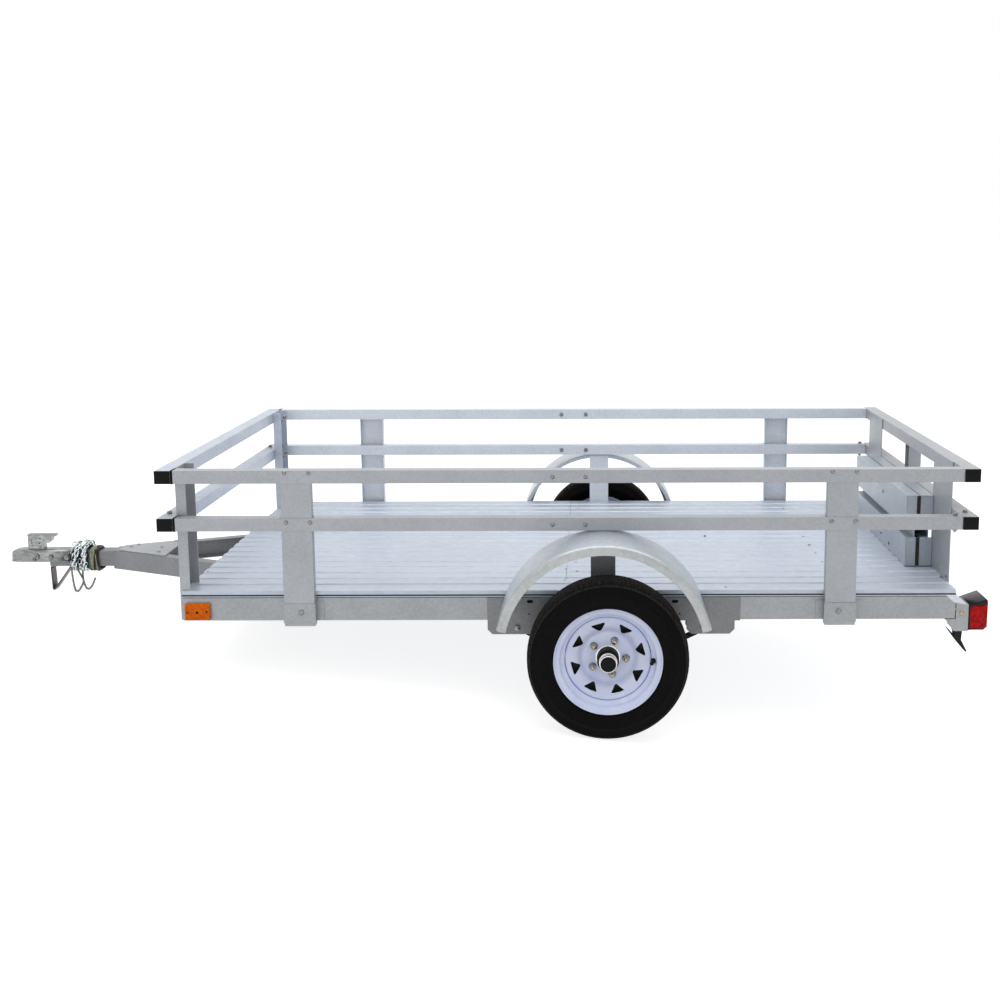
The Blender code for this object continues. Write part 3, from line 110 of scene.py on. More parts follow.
plainFinishes = {    # light colour, dark colour, roughness, metallic, mark size, bump, specular
    "blackSteel": ((0.013, 0.013, 0.013), (0.008, 0.008, 0.008), 0.5, 0, 0.02, 0.0003, 0.18),
    "blackPlastic": ((0.006, 0.006, 0.007), (0.003, 0.003, 0.003), 0.5, 0, 0.004, 0.0002, 0.12),
    "hoodPlastic": ((0.008, 0.008, 0.01), (0.004, 0.004, 0.005), 0.16, 0, 0.03, 0.0001, 0.22),
    "tyreRubber": ((0.003, 0.003, 0.0036), (0.0016, 0.0016, 0.002), 0.44, 0, 0.01, 0.0003, 0.06),
    # the tread's rubber, lighter than the sidewall: painted sheen
    "treadPaintedSheenRubber": ((0.042, 0.038, 0.035), (0.022, 0.02, 0.018), 0.8, 0, 0.006, 0.0004, 0.1),
    "rimPaint": ((0.76, 0.82, 1), (0.67, 0.73, 0.98), 0.26, 0, 0.05, 0.0001, 0.5),
    "chrome": ((0.78, 0.76, 0.72), (0.62, 0.6, 0.57), 0.14, 1, 0.01, 0.0001, 0.5),
    "boltZinc": ((0.34, 0.35, 0.36), (0.12, 0.12, 0.125), 0.22, 0.9, 0.003, 0.0002, 0.5),
    "lugBrass": ((0.5, 0.4, 0.25), (0.3, 0.23, 0.13), 0.24, 1, 0.003, 0.0001, 0.5),
    "chainSteel": ((0.92, 0.95, 0.96), (0.5, 0.56, 0.58), 0.2, 0.7, 0.004, 0.0003, 0.5),
    # near-black links for the shade inside the winding: painted shade
    "chainShade": ((0.045, 0.052, 0.055), (0.012, 0.014, 0.015), 0.4, 0.3, 0.006, 0.0003, 0.3),
    "hookSteel": ((0.26, 0.26, 0.26), (0.1, 0.1, 0.1), 0.32, 0.7, 0.005, 0.0003, 0.5),
    "redLens": ((0.72, 0.002, 0.004), (0.24, 0.001, 0.002), 0.16, 0, 0.014, 0.0003, 0.12),
    "amberLens": ((0.84, 0.17, 0.002), (0.62, 0.1, 0.001), 0.2, 0, 0.006, 0.0003, 0.1),
    "wireBlack": ((0.022, 0.02, 0.019), (0.012, 0.011, 0.01), 0.45, 0, 0.008, 0.0002, 0.3),
    "wireYellow": ((0.5, 0.4, 0.17), (0.3, 0.23, 0.09), 0.4, 0, 0.008, 0.0002, 0.4),
    "wireTeal": ((0.05, 0.2, 0.19), (0.03, 0.12, 0.12), 0.4, 0, 0.008, 0.0002, 0.4),
    "wireBrown": ((0.02, 0.013, 0.009), (0.01, 0.007, 0.005), 0.4, 0, 0.008, 0.0002, 0.25),
    "wireBeige": ((0.4, 0.38, 0.28), (0.26, 0.24, 0.17), 0.4, 0, 0.008, 0.0002, 0.4),
}
zincPattern = {
    "grainScale": 1400, "grainDetail": 2, "cloudScale": 7, "cloudDetail": 4, "spangleShare": 0.34,
    "cloudShare": 0.62, "grainShare": 0.34, "darkUpTo": 0.35, "polish": 0.07, "bump": 0.15,
    "depth": 0.0004,
}
plainPattern = {
    "detail": 6, "darkUpTo": 0.35, "lightFrom": 0.65, "dull": 1.2, "glossy": 0.85, "bump": 0.25,
}


def addNode(tree, kind, values=()):
    made = tree.nodes.new(kind)
    for key, value in dict(values).items():
        made.inputs[key].default_value = value
    return made


def calculate(tree, operation, *values):
    made = tree.nodes.new("ShaderNodeMath")
    made.operation = operation
    for socket, value in zip(made.inputs, values):
        if isinstance(value, (int, float)):
            socket.default_value = value
        else:
            tree.links.new(value, socket)
    return made.outputs[0]


def spread(tree, value, low, high, outLow, outHigh):
    made = addNode(tree, "ShaderNodeMapRange", {"From Min": low, "From Max": high,
                                                "To Min": outLow, "To Max": outHigh})
    tree.links.new(value, made.inputs["Value"])
    return made.outputs["Result"]


def newFinish(name, colour, metallic):
    finish = bpy.data.materials.new(name)
    finish.use_nodes = True
    tree = finish.node_tree
    shader = tree.nodes["Principled BSDF"]
    shader.inputs["Base Color"].default_value = (*colour, 1)
    shader.inputs["Metallic"].default_value = metallic
    coords = addNode(tree, "ShaderNodeTexCoord")
    return finish, tree, shader, coords.outputs["Object"]


def patternNode(tree, place, kind, values):
    made = addNode(tree, kind, values)
    tree.links.new(place, made.inputs["Vector"])
    return made


def noise(tree, place, scale, detail):
    return patternNode(tree, place, "ShaderNodeTexNoise",
                       {"Scale": scale, "Detail": detail}).outputs["Fac"]


def finishSurface(tree, shader, light, dark, share, roughness, grain, strength, depth):
    tint = tree.nodes.new("ShaderNodeMix")
    tint.data_type = "RGBA"
    darkSocket, lightSocket = [s for s in tint.inputs if s.type == "RGBA"]
    darkSocket.default_value = (*dark, 1)
    lightSocket.default_value = (*light, 1)
    tree.links.new(share, tint.inputs["Factor"])
    tree.links.new([s for s in tint.outputs if s.type == "RGBA"][0], shader.inputs["Base Color"])
    tree.links.new(spread(tree, share, 0, 1, roughness[0], roughness[1]),
                   shader.inputs["Roughness"])
    bump = addNode(tree, "ShaderNodeBump", {"Strength": strength, "Distance": depth})
    tree.links.new(grain, bump.inputs["Height"])
    tree.links.new(bump.outputs["Normal"], shader.inputs["Normal"])


# Galvanised steel: small spangles, a slow cloudiness and a fine grain
def zinc(p, name, light, dark, roughness=0.46, metallic=0.45, cell=0.006, stretch=1):
    finish, tree, shader, place = newFinish(name, light, metallic)
    place = patternNode(tree, place, "ShaderNodeMapping", {
        "Rotation": (0, asin(-up.x), 0), "Scale": (stretch, 1, 1)}).outputs["Vector"]
    spangle = patternNode(tree, place, "ShaderNodeTexVoronoi", {"Scale": 1 / cell})
    tone = tree.nodes.new("ShaderNodeSeparateColor")
    tree.links.new(spangle.outputs["Color"], tone.inputs["Color"])
    grain = noise(tree, place, p["grainScale"], p["grainDetail"])
    cloud = noise(tree, place, p["cloudScale"], p["cloudDetail"])
    share = 0
    for value, weight in ((tone.outputs[0], p["spangleShare"]), (cloud, p["cloudShare"]),
                          (grain, p["grainShare"])):
        share = calculate(tree, "MULTIPLY_ADD", value, weight, share)
    finishSurface(tree, shader, light, dark, spread(tree, share, p["darkUpTo"], 1, 0, 1),
                  (roughness + p["polish"], roughness - p["polish"]), grain, p["bump"],
                  p["depth"])
    return finish


# Paint, plastic, rubber and bare steel: one cloudy pattern for colour, gloss and bump
def plain(p, name, light, dark, roughness, metallic, mark, depth, specular):
    finish, tree, shader, place = newFinish(name, light, metallic)
    shader.inputs["Specular IOR Level"].default_value = specular
    cloud = noise(tree, place, 1 / mark, p["detail"])
    share = spread(tree, cloud, p["darkUpTo"], p["lightFrom"], 0, 1)
    finishSurface(tree, shader, light, dark, share,
                  (roughness * p["dull"], roughness * p["glossy"]), cloud, p["bump"], depth)
    return finish


finishes = {name: zinc(zincPattern, name, *row) for name, row in zincFinishes.items()}
finishes.update({name: plain(plainPattern, name, *row) for name, row in plainFinishes.items()})
print("finishes made:", len(finishes))


# Floor, world and lamps
studio = {
    "background": 1, "ambient": 0.74, "floorColour": 0.52, "floorGlow": 0.8, "floorSize": 80,
    "lamps": (("overhead", (0, 0.4, 5.2), (0, 0, 0), 7, 190), ("frontFill", (-2.5, -6.5, 2.6),
        (0.2, 0, 0.4), 4, 20)),
}


def seenDirectly(tree):      # 1 for what the camera or a reflection sees, else 0
    path = tree.nodes.new("ShaderNodeLightPath")
    seen = calculate(tree, "MAXIMUM", path.outputs["Is Camera Ray"], path.outputs["Is Glossy Ray"])
    return calculate(tree, "MAXIMUM", seen, path.outputs["Is Transmission Ray"])


def buildStudio(s):
    world = bpy.data.worlds.new("studio")
    scene.world = world
    world.use_nodes = True
    tree = world.node_tree
    background = tree.nodes["Background"]
    background.inputs["Color"].default_value = (1, 1, 1, 1)
    tree.links.new(spread(tree, seenDirectly(tree), 0, 1, s["ambient"], s["background"]),
                   background.inputs["Strength"])
    bm = bmesh.new()
    bmesh.ops.create_grid(bm, x_segments=1, y_segments=1, size=s["floorSize"] / 2)
    mesh = bpy.data.meshes.new("floor")
    bm.to_mesh(mesh)
    bm.free()
    floor = showObject("floor", mesh)
    finish = bpy.data.materials.new("floorPale")
    finish.use_nodes = True
    tree = finish.node_tree
    tree.nodes.remove(tree.nodes["Principled BSDF"])
    diffuse = addNode(tree, "ShaderNodeBsdfDiffuse", {"Color": (*[s["floorColour"]] * 3, 1)})
    glow = tree.nodes.new("ShaderNodeEmission")
    tree.links.new(calculate(tree, "MULTIPLY", seenDirectly(tree), s["floorGlow"]),
                   glow.inputs["Strength"])
    both = tree.nodes.new("ShaderNodeAddShader")
    tree.links.new(diffuse.outputs[0], both.inputs[0])
    tree.links.new(glow.outputs[0], both.inputs[1])
    tree.links.new(both.outputs[0], tree.nodes["Material Output"].inputs["Surface"])
    mesh.materials.append(finish)
    for name, at, target, size, watts in s["lamps"]:
        data = bpy.data.lights.new(name, "AREA")
        data.size = size
        data.energy = watts
        lamp = showObject(name, data)
        lamp.location = at
        lamp.rotation_euler = (Vector(target) - Vector(at)).to_track_quat("-Z", "Y").to_euler()
    scene.view_settings.view_transform = "Standard"


buildStudio(studio)
print("studio built")


# Helpers for new pieces
merging = {"piece": 0.00001, "shape": 0.000005}
wireCurve = {"order": 4, "steps": 4, "round": 2}
millimetre = 0.001


def newPiece(name, bm, paint, body="chassis", sharp=38, place=tip):
    bmesh.ops.remove_doubles(bm, verts=bm.verts, dist=merging["piece"])
    bmesh.ops.recalc_face_normals(bm, faces=bm.faces)
    bmesh.ops.transform(bm, matrix=place, verts=bm.verts)
    for face in bm.faces:
        face.smooth = True
    mesh = bpy.data.meshes.new(name)
    bm.to_mesh(mesh)
    bm.free()
    for finishName in [paint] if isinstance(paint, str) else paint:
        mesh.materials.append(finishes[finishName])
    mesh.set_sharp_from_angle(angle=radians(sharp))
    piece = showObject(name, mesh)
    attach(piece, body)
    return piece


def facing(at, normal, turn=0):      # z along the normal, then turned about it
    spin = Vector(normal).to_track_quat("Z", "Y").to_matrix().to_4x4()
    return Matrix.Translation(at) @ spin @ Matrix.Rotation(turn, 4, "Z")


def extrude(bm, faces):
    made = bmesh.ops.extrude_face_region(bm, geom=faces)["geom"]
    return [v for v in made if isinstance(v, bmesh.types.BMVert)]


def dressFaces(bm, faces, paint, bevel=0, steps=2):
    for face in faces:
        face.material_index = paint
    if bevel:
        edges = list({e for f in faces for e in f.edges})
        bmesh.ops.bevel(bm, geom=edges, offset=bevel, segments=steps, profile=0.5,
                        affect="EDGES", material=-1)


def addBox(bm, low, high, bevel=0, steps=2, paint=0):
    low, high = Vector(low), Vector(high)
    box = Matrix.Translation((low + high) / 2) @ Matrix.Diagonal((*(high - low), 1))
    made = bmesh.ops.create_cube(bm, size=1, matrix=box)["verts"]
    dressFaces(bm, {f for v in made for f in v.link_faces}, paint, bevel, steps)


def addSideBox(bm, side, xs, ys, zs, bevel=0, steps=2, paint=0):     # ys as on the far side
    low, high = sorted(side * y for y in ys)
    addBox(bm, (xs[0], low, zs[0]), (xs[1], high, zs[1]), bevel, steps, paint)


def addRod(bm, start, end, radius, sides=16, bevel=0, tipRadius=None, paint=0):
    start, end = Vector(start), Vector(end)
    made = bmesh.ops.create_cone(bm, cap_ends=True, segments=sides, radius1=radius,
                                 radius2=radius if tipRadius is None else tipRadius,
                                 depth=(end - start).length,
                                 matrix=facing((start + end) / 2, end - start))["verts"]
    faces = {f for v in made for f in v.link_faces}
    dressFaces(bm, faces, paint)
    dressFaces(bm, [f for f in faces if len(f.verts) == sides], paint, bevel)


# An outline of (x, z) points carried across from one y to another
def addPlate(bm, outline, low, high, bevel=0, steps=2, paint=0):
    face = bm.faces.new([bm.verts.new((x, low, z)) for x, z in outline])
    moved = extrude(bm, [face])
    bmesh.ops.translate(bm, vec=(0, high - low, 0), verts=moved)
    dressFaces(bm, {f for v in moved for f in v.link_faces} | {face}, paint, bevel, steps)


def spinRound(bm, geometry, angle, steps, merge=False):
    return bmesh.ops.spin(bm, geom=geometry, cent=(0, 0, 0), axis=(0, 0, 1), angle=angle,
                          steps=steps, use_merge=merge)["geom_last"]


def addProfile(bm, profile, unit=millimetre, ring=True):      # (radius, height) points, joined
    verts = [bm.verts.new((radius * unit, 0, height * unit)) for radius, height in profile]
    return verts + [bm.edges.new(pair)
                    for pair in zip(verts, verts[1:] + (verts[:1] if ring else []))]


# A profile in millimetres is turned round z. A ring closes on itself
def addTurned(bm, profile, steps, place=Matrix(), ring=False, paint=0):
    before = set(bm.faces)
    spinRound(bm, addProfile(bm, profile, ring=ring), tau, steps, merge=True)
    made = [f for f in bm.faces if f not in before]
    dressFaces(bm, made, paint)
    bmesh.ops.transform(bm, matrix=place, verts=list({v for f in made for v in f.verts}))


def meshOf(name, bm):
    bmesh.ops.recalc_face_normals(bm, faces=bm.faces)
    mesh = bpy.data.meshes.new(name)
    bm.to_mesh(mesh)
    bm.free()
    return mesh


def shapeMesh(name, build):            # a small mesh that scatter copies
    bm = bmesh.new()
    build(bm)
    bmesh.ops.remove_doubles(bm, verts=bm.verts, dist=merging["shape"])
    return meshOf(name, bm)


def scatter(bm, shape, places):
    for place in places:
        start = len(bm.verts)
        bm.from_mesh(shape)
        bm.verts.ensure_lookup_table()
        bmesh.ops.transform(bm, matrix=place, verts=bm.verts[start:])


def addWire(bm, points, radius, paint=0):
    curve = bpy.data.curves.new("wire", "CURVE")
    curve.dimensions = "3D"
    spline = curve.splines.new("NURBS")
    spline.points.add(len(points) - 1)
    for point, at in zip(spline.points, points):
        point.co = (*at, 1)
    spline.use_endpoint_u = True
    spline.order_u = wireCurve["order"]
    curve.resolution_u = wireCurve["steps"]
    curve.bevel_depth = radius
    curve.bevel_resolution = wireCurve["round"]
    curve.use_fill_caps = True
    carrier = bpy.data.objects.new("wire", curve)
    mesh = bpy.data.meshes.new_from_object(carrier)
    start = len(bm.faces)
    bm.from_mesh(mesh)
    bm.faces.ensure_lookup_table()
    dressFaces(bm, bm.faces[start:], paint)
    bpy.data.objects.remove(carrier)
    bpy.data.curves.remove(curve)
    bpy.data.meshes.remove(mesh)


# Small fasteners: each kind is drawn once, its bearing face at z = 0
fasteners = {   # turned profile in millimetres, its steps; hexagon's width and top, stub
    "dome": (((0, 4), (3, 3.8), (5.8, 2.6), (7, 0.8), (7, -0.5)), 20),
    "bigDome": (((0, 5.5), (4.5, 5.1), (8, 3.3), (9.5, 1), (9.5, -0.5)), 24),
    "rivet": (((0, 1.8), (2.2, 1.5), (3.6, 0.4), (3.6, -0.3)), 12),
    "hex": (((0, 2.2), (7.8, 2.2), (9, 1.2), (9, -0.3)), 24, 0.013, 0.0085),
    "nut": (((0, 1.5), (8.5, 1.5), (8.8, -0.3)), 24, 0.013, 0.008, 0.005),
    "bigNut": (((0, 2), (10.2, 1.8), (10.8, -0.3)), 24, 0.0165, 0.009, 0.004),
    "screw": (((0, 0.6), (4, 0.4), (4.4, -0.3)), 12),
}
hexagon = {"sunk": 0.001, "bevel": 0.0008, "stubShare": 0.27, "stubBevel": 0.0006}


def fastenerShape(name, profile, steps, across=0, top=0, stub=0):
    def build(bm):
        addTurned(bm, profile, steps)
        if across:
            addRod(bm, (0, 0, hexagon["sunk"]), (0, 0, top), across / sqrt(3), 6,
                   hexagon["bevel"])
        if stub:
            addRod(bm, (0, 0, top - hexagon["sunk"]), (0, 0, top + stub),
                   across * hexagon["stubShare"], 12, hexagon["stubBevel"])
    return shapeMesh(name, build)


fastenerShapes = {name: fastenerShape(name, *row) for name, row in fasteners.items()}
# Fasteners off the middle by more than "from" are mirrored. Each head is turned its own way:
# radians, and radians more for each metre of x, on the near side and the far side
mirroring = {"from": 0.01, "turns": ((1, 0.4, 7), (-1, 0.9, 5))}


def fit(name, rows, paint="boltZinc", mirror=True):
    bm = bmesh.new()
    for kind, at, normal in rows:
        for way, turn, more in mirroring["turns"]:
            if way == 1 or mirror and abs(at[1]) > mirroring["from"]:
                scatter(bm, fastenerShapes[kind],
                        [facing((at[0], way * at[1], at[2]),
                                (normal[0], way * normal[1], normal[2]), turn + more * at[0])])
    newPiece(name, bm, paint, sharp=45)


# CAD nodes that stay: finish, and a small bevel on their edges
keptNodes = {       # finish: how its nodes' names begin
    "frameZinc": ("frame_", "cross_member", "lamp_bracket", "tongue_gusset"),
    "tubeZinc": ("side_post_front_near", "side_post_rear_near", "front_post_near", "rear_post",
                 "upper_rail_near", "lower_rail_near", "upper_rail_rear", "lower_rail_rear"),
    # far-side posts and rails and the far fender bar take the lighter zinc: painted light
    "paintedLightZinc": ("side_post_front_far", "side_post_rear_far", "upper_rail_far",
                "lower_rail_far", "fender_bar_far"),
    # the sleeves, the near fender bar and the tongue tube take the darker zinc: painted shade
    "paintedShadeZinc": ("splice_sleeve", "fender_bar_near", "tongue_tube"),
    # the front rails and the far front post take the deck's lighter zinc: painted light
    "deckAndPaintedLightZinc": ("deck_", "upper_rail_front", "lower_rail_front", "front_post_far"),
    "rampZinc": ("ramp_leaf",),
    "tongueZinc": ("tongue_arm",),
    "standSteel": ("tongue_stand",),
    "couplerZinc": ("coupler_latch",),
    "blackSteel": ("axle_beam", "leaf_spring", "plate_holder"),
}
edgeBevel = {"width": 0.0007, "angle": 40, "steps": 2, "weld": 0.00002}


def softenEdges(obj, width, angle, steps):
    bevel = obj.modifiers.new("edges", "BEVEL")
    bevel.width = width
    bevel.segments = steps
    bevel.limit_method = "ANGLE"
    bevel.angle_limit = radians(angle)


def finishKept(table, e):
    for finishName, starts in table.items():
        for name, obj in nodes.items():
            if name.startswith(starts):
                obj.data.materials.clear()
                obj.data.materials.append(finishes[finishName])
                obj.modifiers.new("weld", "WELD").merge_threshold = e["weld"]
                softenEdges(obj, e["width"], e["angle"], e["steps"])


finishKept(keptNodes, edgeBevel)
print("CAD nodes finished")


# Wheels. A wheel is drawn with z outward and y up, its profiles in millimetres
wheel = {
    "offset": 0.86,
    "barrel": ((171.5, 53), (170.8, 56.6), (169, 57), (166.8, 55.6), (165.5, 52.5), (163.6, 50),
        (154.5, 48.8), (151.8, 47), (150.5, 43), (150, 32), (147.8, 29), (144.2, 27.5),
        (142.5, 26.2), (140, 25.2), (137.8, 24.5), (136.6, 22.5), (136, 15), (136, -18), (148, -30),
        (150, -45), (164, -50), (166, -55.6), (169, -57), (171.5, -53.5), (169, -52), (167.5, -48),
        (153.5, -45), (152, -28), (140, -16), (140, 20), (153.5, 30), (155, 45), (167.5, 47),
        (169, 52)),
    "disc": ((36, 2), (70, 2), (75.5, 1.4), (78.5, -1), (80, -2.2), (81.5, -1.8), (85, 2),
        (90, 8.5), (96, 14), (104, 18), (114, 20.6), (124, 22.2), (130.5, 22.8), (133.5, 21.2),
        (134.8, 17), (135, -6), (132.2, -6), (131.8, 15), (129, 19), (114, 17), (104, 14.4),
        (96, 10.4), (90, 4.8), (85, -1.6), (81.5, -5.4), (78.5, -5), (75.5, -2.4), (36, -1.8)),
    "windows": 8, "windowStart": -15.7, "windowBase": 0.051, "windowHeight": 0.03,
    "windowAt": 0.1165, "windowRound": 0.0085, "windowSteps": 5, "cutterReach": 0.04,
    "rimSteps": 96, "rimEdge": (0.0006, 60, 2), "hubSteps": 48, "backSteps": 40, "lugs": 5,
    "lugStart": 21.5, "lugCircle": 0.05715,
    "lugRods": ((0, 0.004, 0.0128, 24, 0.001, 0.0112), (0.003, 0.015, 0.019/sqrt(3), 6, 0.0014,
        None)),
    "lugTip": ((6.6, 14), (6.6, 17), (5.2, 19.2), (2.8, 20.2), (0, 20.5)),
    "hub": (("chrome", ((35, 0), (38.8, 2), (39.2, 4.5), (38.6, 6.5), (35, 7))), ("blackPlastic",
        ((35.2, 4), (35.2, 22), (34.5, 22.8), (34.5, 23.6), (35, 24.4), (34.8, 40), (34, 44),
        (30, 49), (26.8, 51))), ("chrome", ((26.6, 50), (28.3, 51.2), (28.8, 52.5), (28.3, 53.8),
        (26.6, 54.5))), ("blackPlastic", ((26.7, 54), (26.7, 61))), ("chrome", ((26.6, 60),
        (28, 61), (28.4, 62.2), (28, 63.4), (26.6, 64))), ("blackPlastic", ((26.5, 63.5),
        (26.2, 73))), ("chrome", ((26.2, 72.5), (27.2, 73.8), (27.3, 75.2), (26.2, 76.2),
        (24.6, 76.4))), ("blackPlastic", ((24.6, 76.4), (24.2, 74.5), (22.6, 74.2), (22, 75.6),
        (12, 76.6), (0, 76.8)))),
    "hubBack": ((16.8, -51), (33, -51), (34, -15), (70, -15), (70, -5), (16.8, -5)),
    # a black disc behind the rim's windows, so that they show dark: painted shade
    "paintedShadeDisc": ((16.8, -16), (128, -16), (128, -20), (16.8, -20)),
    "face": 0.002,
    "valve": {"angle": 92, "radius": 0.143, "foot": 0.025, "reach": 0.03, "lean": 0.008,
        "thick": 0.0062, "parts": ((0, 0.35, 1.5, 1, 0), (0.3, 0.75, 0.9, 0.9, 0),
        (0.7, 1, 1, 1, 0.001))},
}
tyre = {
    "blocks": 84, "slotShare": 0.14, "slotDepth": 0.0022, "slotLean": 0.6, "merge": 0.00003,
    "lugHeight": (0.246, 0.2535), "ribOuter": 0.03, "treadFrom": 0.2435,
    "outer": ((156, 44.5), (172.2, 45.5), (173.5, 56), (174.8, 59.8), (177.5, 61.4), (179, 60.6),
        (186, 61.8), (196, 64.3), (206, 65.4), (212, 65.2), (213.5, 65.5), (215.5, 65), (217, 63.6),
        (226, 61.8), (234, 60), (240.8, 58), (242.8, 59.2), (245.5, 57.4), (249, 54), (251.8, 48.5),
        (253, 43), (253.8, 31), (248.8, 30), (248.6, 26.2), (254.1, 25.2), (254.7, 12), (249.2, 11),
        (249.2, 7.8), (254.9, 6.8)),
    "inside": ((244, 0), (240, 38), (226, 50), (200, 56), (175, 52), (156, 42)),
}


def wheelPlace(side):
    return tip @ Matrix(((-side, 0, 0, 0), (0, 0, side, side * wheel["offset"]),
                         (0, 1, 0, axleHeight), (0, 0, 0, 1)))


def clock(angle, radius, height=0):   # degrees clockwise from the top, seen from outside
    a = radians(angle)
    return Vector((radius * sin(a), radius * cos(a), height))


def buildTyre(t, label, side):
    bm = bmesh.new()
    outer, inside = [list(t[key]) for key in ("outer", "inside")]
    loop = outer + [(r, -z) for r, z in outer[::-1]] + [(r, -z) for r, z in inside[::-1]]
    loop += inside[1:]
    last = addProfile(bm, loop)
    block = tau / t["blocks"]
    for _ in range(t["blocks"]):
        for share in (t["slotShare"], 1 - t["slotShare"]):
            last = spinRound(bm, last, block * share, 1)
    bmesh.ops.remove_doubles(bm, verts=bm.verts, dist=t["merge"])
    slots = []
    for face in bm.faces:
        middle = face.calc_center_median()
        radius = hypot(middle.x, middle.y)
        turn = atan2(middle.y, middle.x) % block
        if turn < block * t["slotShare"] and abs(middle.z) > t["ribOuter"] \
                and t["lugHeight"][0] < radius < t["lugHeight"][1]:
            slots.append(face)
    for vert in extrude(bm, slots):
        radius = hypot(vert.co.x, vert.co.y)
        shrink = (radius - t["slotDepth"]) / radius
        sunk = copysign(t["slotDepth"] * t["slotLean"], vert.co.z)
        vert.co = Vector((vert.co.x * shrink, vert.co.y * shrink, vert.co.z - sunk))
    # faces out on the tread take the lighter rubber: painted sheen
    for face in bm.faces:
        middle = face.calc_center_median()
        face.material_index = int(hypot(middle.x, middle.y) > t["treadFrom"])
    piece = newPiece("tyre_" + label + "_tread", bm, ("tyreRubber", "treadPaintedSheenRubber"),
                     "wheel_" + label, sharp=32, place=wheelPlace(side))
    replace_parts(piece, "tyre_" + label)


def addWindow(bm, w, angle):            # a prism that cuts one window through the disc
    half, foot = w["windowBase"] / 2, -w["cutterReach"]
    corners = [bm.verts.new((x, y, foot)) for x, y in
               ((-half, w["windowAt"]), (half, w["windowAt"]),
                (0, w["windowAt"] - w["windowHeight"]))]
    bm.faces.new(corners)
    bmesh.ops.bevel(bm, geom=corners, offset=w["windowRound"], segments=w["windowSteps"],
                    profile=0.5, affect="VERTICES", material=-1)
    face = [f for f in bm.faces
            if all(abs(v.co.z - foot) < merging["piece"] for v in f.verts)][-1]
    made = extrude(bm, [face])
    bmesh.ops.translate(bm, vec=(0, 0, 2 * w["cutterReach"]), verts=made)
    bmesh.ops.rotate(bm, cent=(0, 0, 0), matrix=Matrix.Rotation(-radians(angle), 3, "Z"),
                     verts=list(set(made) | set(face.verts)))


def buildRim(w, label, side):
    parts = []
    for name in ("disc", "cutter"):
        bm = bmesh.new()
        if name == "disc":
            addTurned(bm, w["disc"], w["rimSteps"], ring=True)
        else:
            for i in range(w["windows"]):
                addWindow(bm, w, w["windowStart"] + 360 / w["windows"] * i)
        parts.append(showObject(name, meshOf(name, bm)))
    cut = parts[0].modifiers.new("cut", "BOOLEAN")
    cut.operation = "DIFFERENCE"
    cut.solver = "EXACT"
    cut.object = parts[1]
    graph = bpy.context.evaluated_depsgraph_get()
    opened = bpy.data.meshes.new_from_object(parts[0].evaluated_get(graph))
    for obj in parts:
        bpy.data.objects.remove(obj)
    bm = bmesh.new()
    bm.from_mesh(opened)
    addTurned(bm, w["barrel"], w["rimSteps"], ring=True)
    piece = newPiece("rim_" + label + "_turned", bm, "rimPaint", "wheel_" + label,
                     sharp=30, place=wheelPlace(side))
    softenEdges(piece, *w["rimEdge"])
    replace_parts(piece, "rim_" + label)


def buildHub(w, label, side):
    bm = bmesh.new()
    paints = ("blackPlastic", "chrome", "lugBrass", "wireBlack", "boltZinc")
    for paint, profile in w["hub"]:
        addTurned(bm, profile, w["hubSteps"], paint=paints.index(paint))
    # the hub's back, and the black disc behind the windows, which is painted shade
    for profile in (w["hubBack"], w["paintedShadeDisc"]):
        addTurned(bm, profile, w["backSteps"], paint=3)
    for i in range(w["lugs"]):
        at = clock(w["lugStart"] + 360 / w["lugs"] * i, w["lugCircle"], w["face"])
        for low, high, radius, edges, bevel, top in w["lugRods"]:
            addRod(bm, at + Vector((0, 0, low)), at + Vector((0, 0, high)), radius, edges, bevel,
                   top, paint=4)
        addTurned(bm, w["lugTip"], 20, place=Matrix.Translation(at), paint=2)
    v = w["valve"]
    foot = clock(v["angle"], v["radius"], v["foot"])
    head = clock(v["angle"], v["radius"] - v["lean"], v["foot"] + v["reach"])
    for low, high, start, end, bevel in v["parts"]:
        addRod(bm, foot.lerp(head, low), foot.lerp(head, high), v["thick"] * start, 16, bevel,
               v["thick"] * end)
    piece = newPiece("hub_" + label + "_turned", bm, paints, "wheel_" + label,
                     sharp=35, place=wheelPlace(side))
    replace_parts(piece, "hub_" + label)


for label, side in sides:
    buildTyre(tyre, label, side)
    buildRim(wheel, label, side)
    buildHub(wheel, label, side)
print("wheels built")


# Fenders: an arched sheet with a deep rolled outer lip
fender = {
    "centre": (-0.013, 0.29), "radius": 0.3405, "inner": 0.7099, "outer": 0.94, "sheet": 0.0022,
    "lip": 0.031, "flange": 0.014, "round": 0.012, "hem": 0.006, "end": 12.5, "steps": 110,
    "cornerSteps": 6, "backRound": 0.002, "hemTurn": (0.0008, 0.0012), "paintedLipShare": 0.6,
    "ripple": {"height": 0.001, "depth": 0.004, "waves": 37, "slow": 11, "across": 90},
}


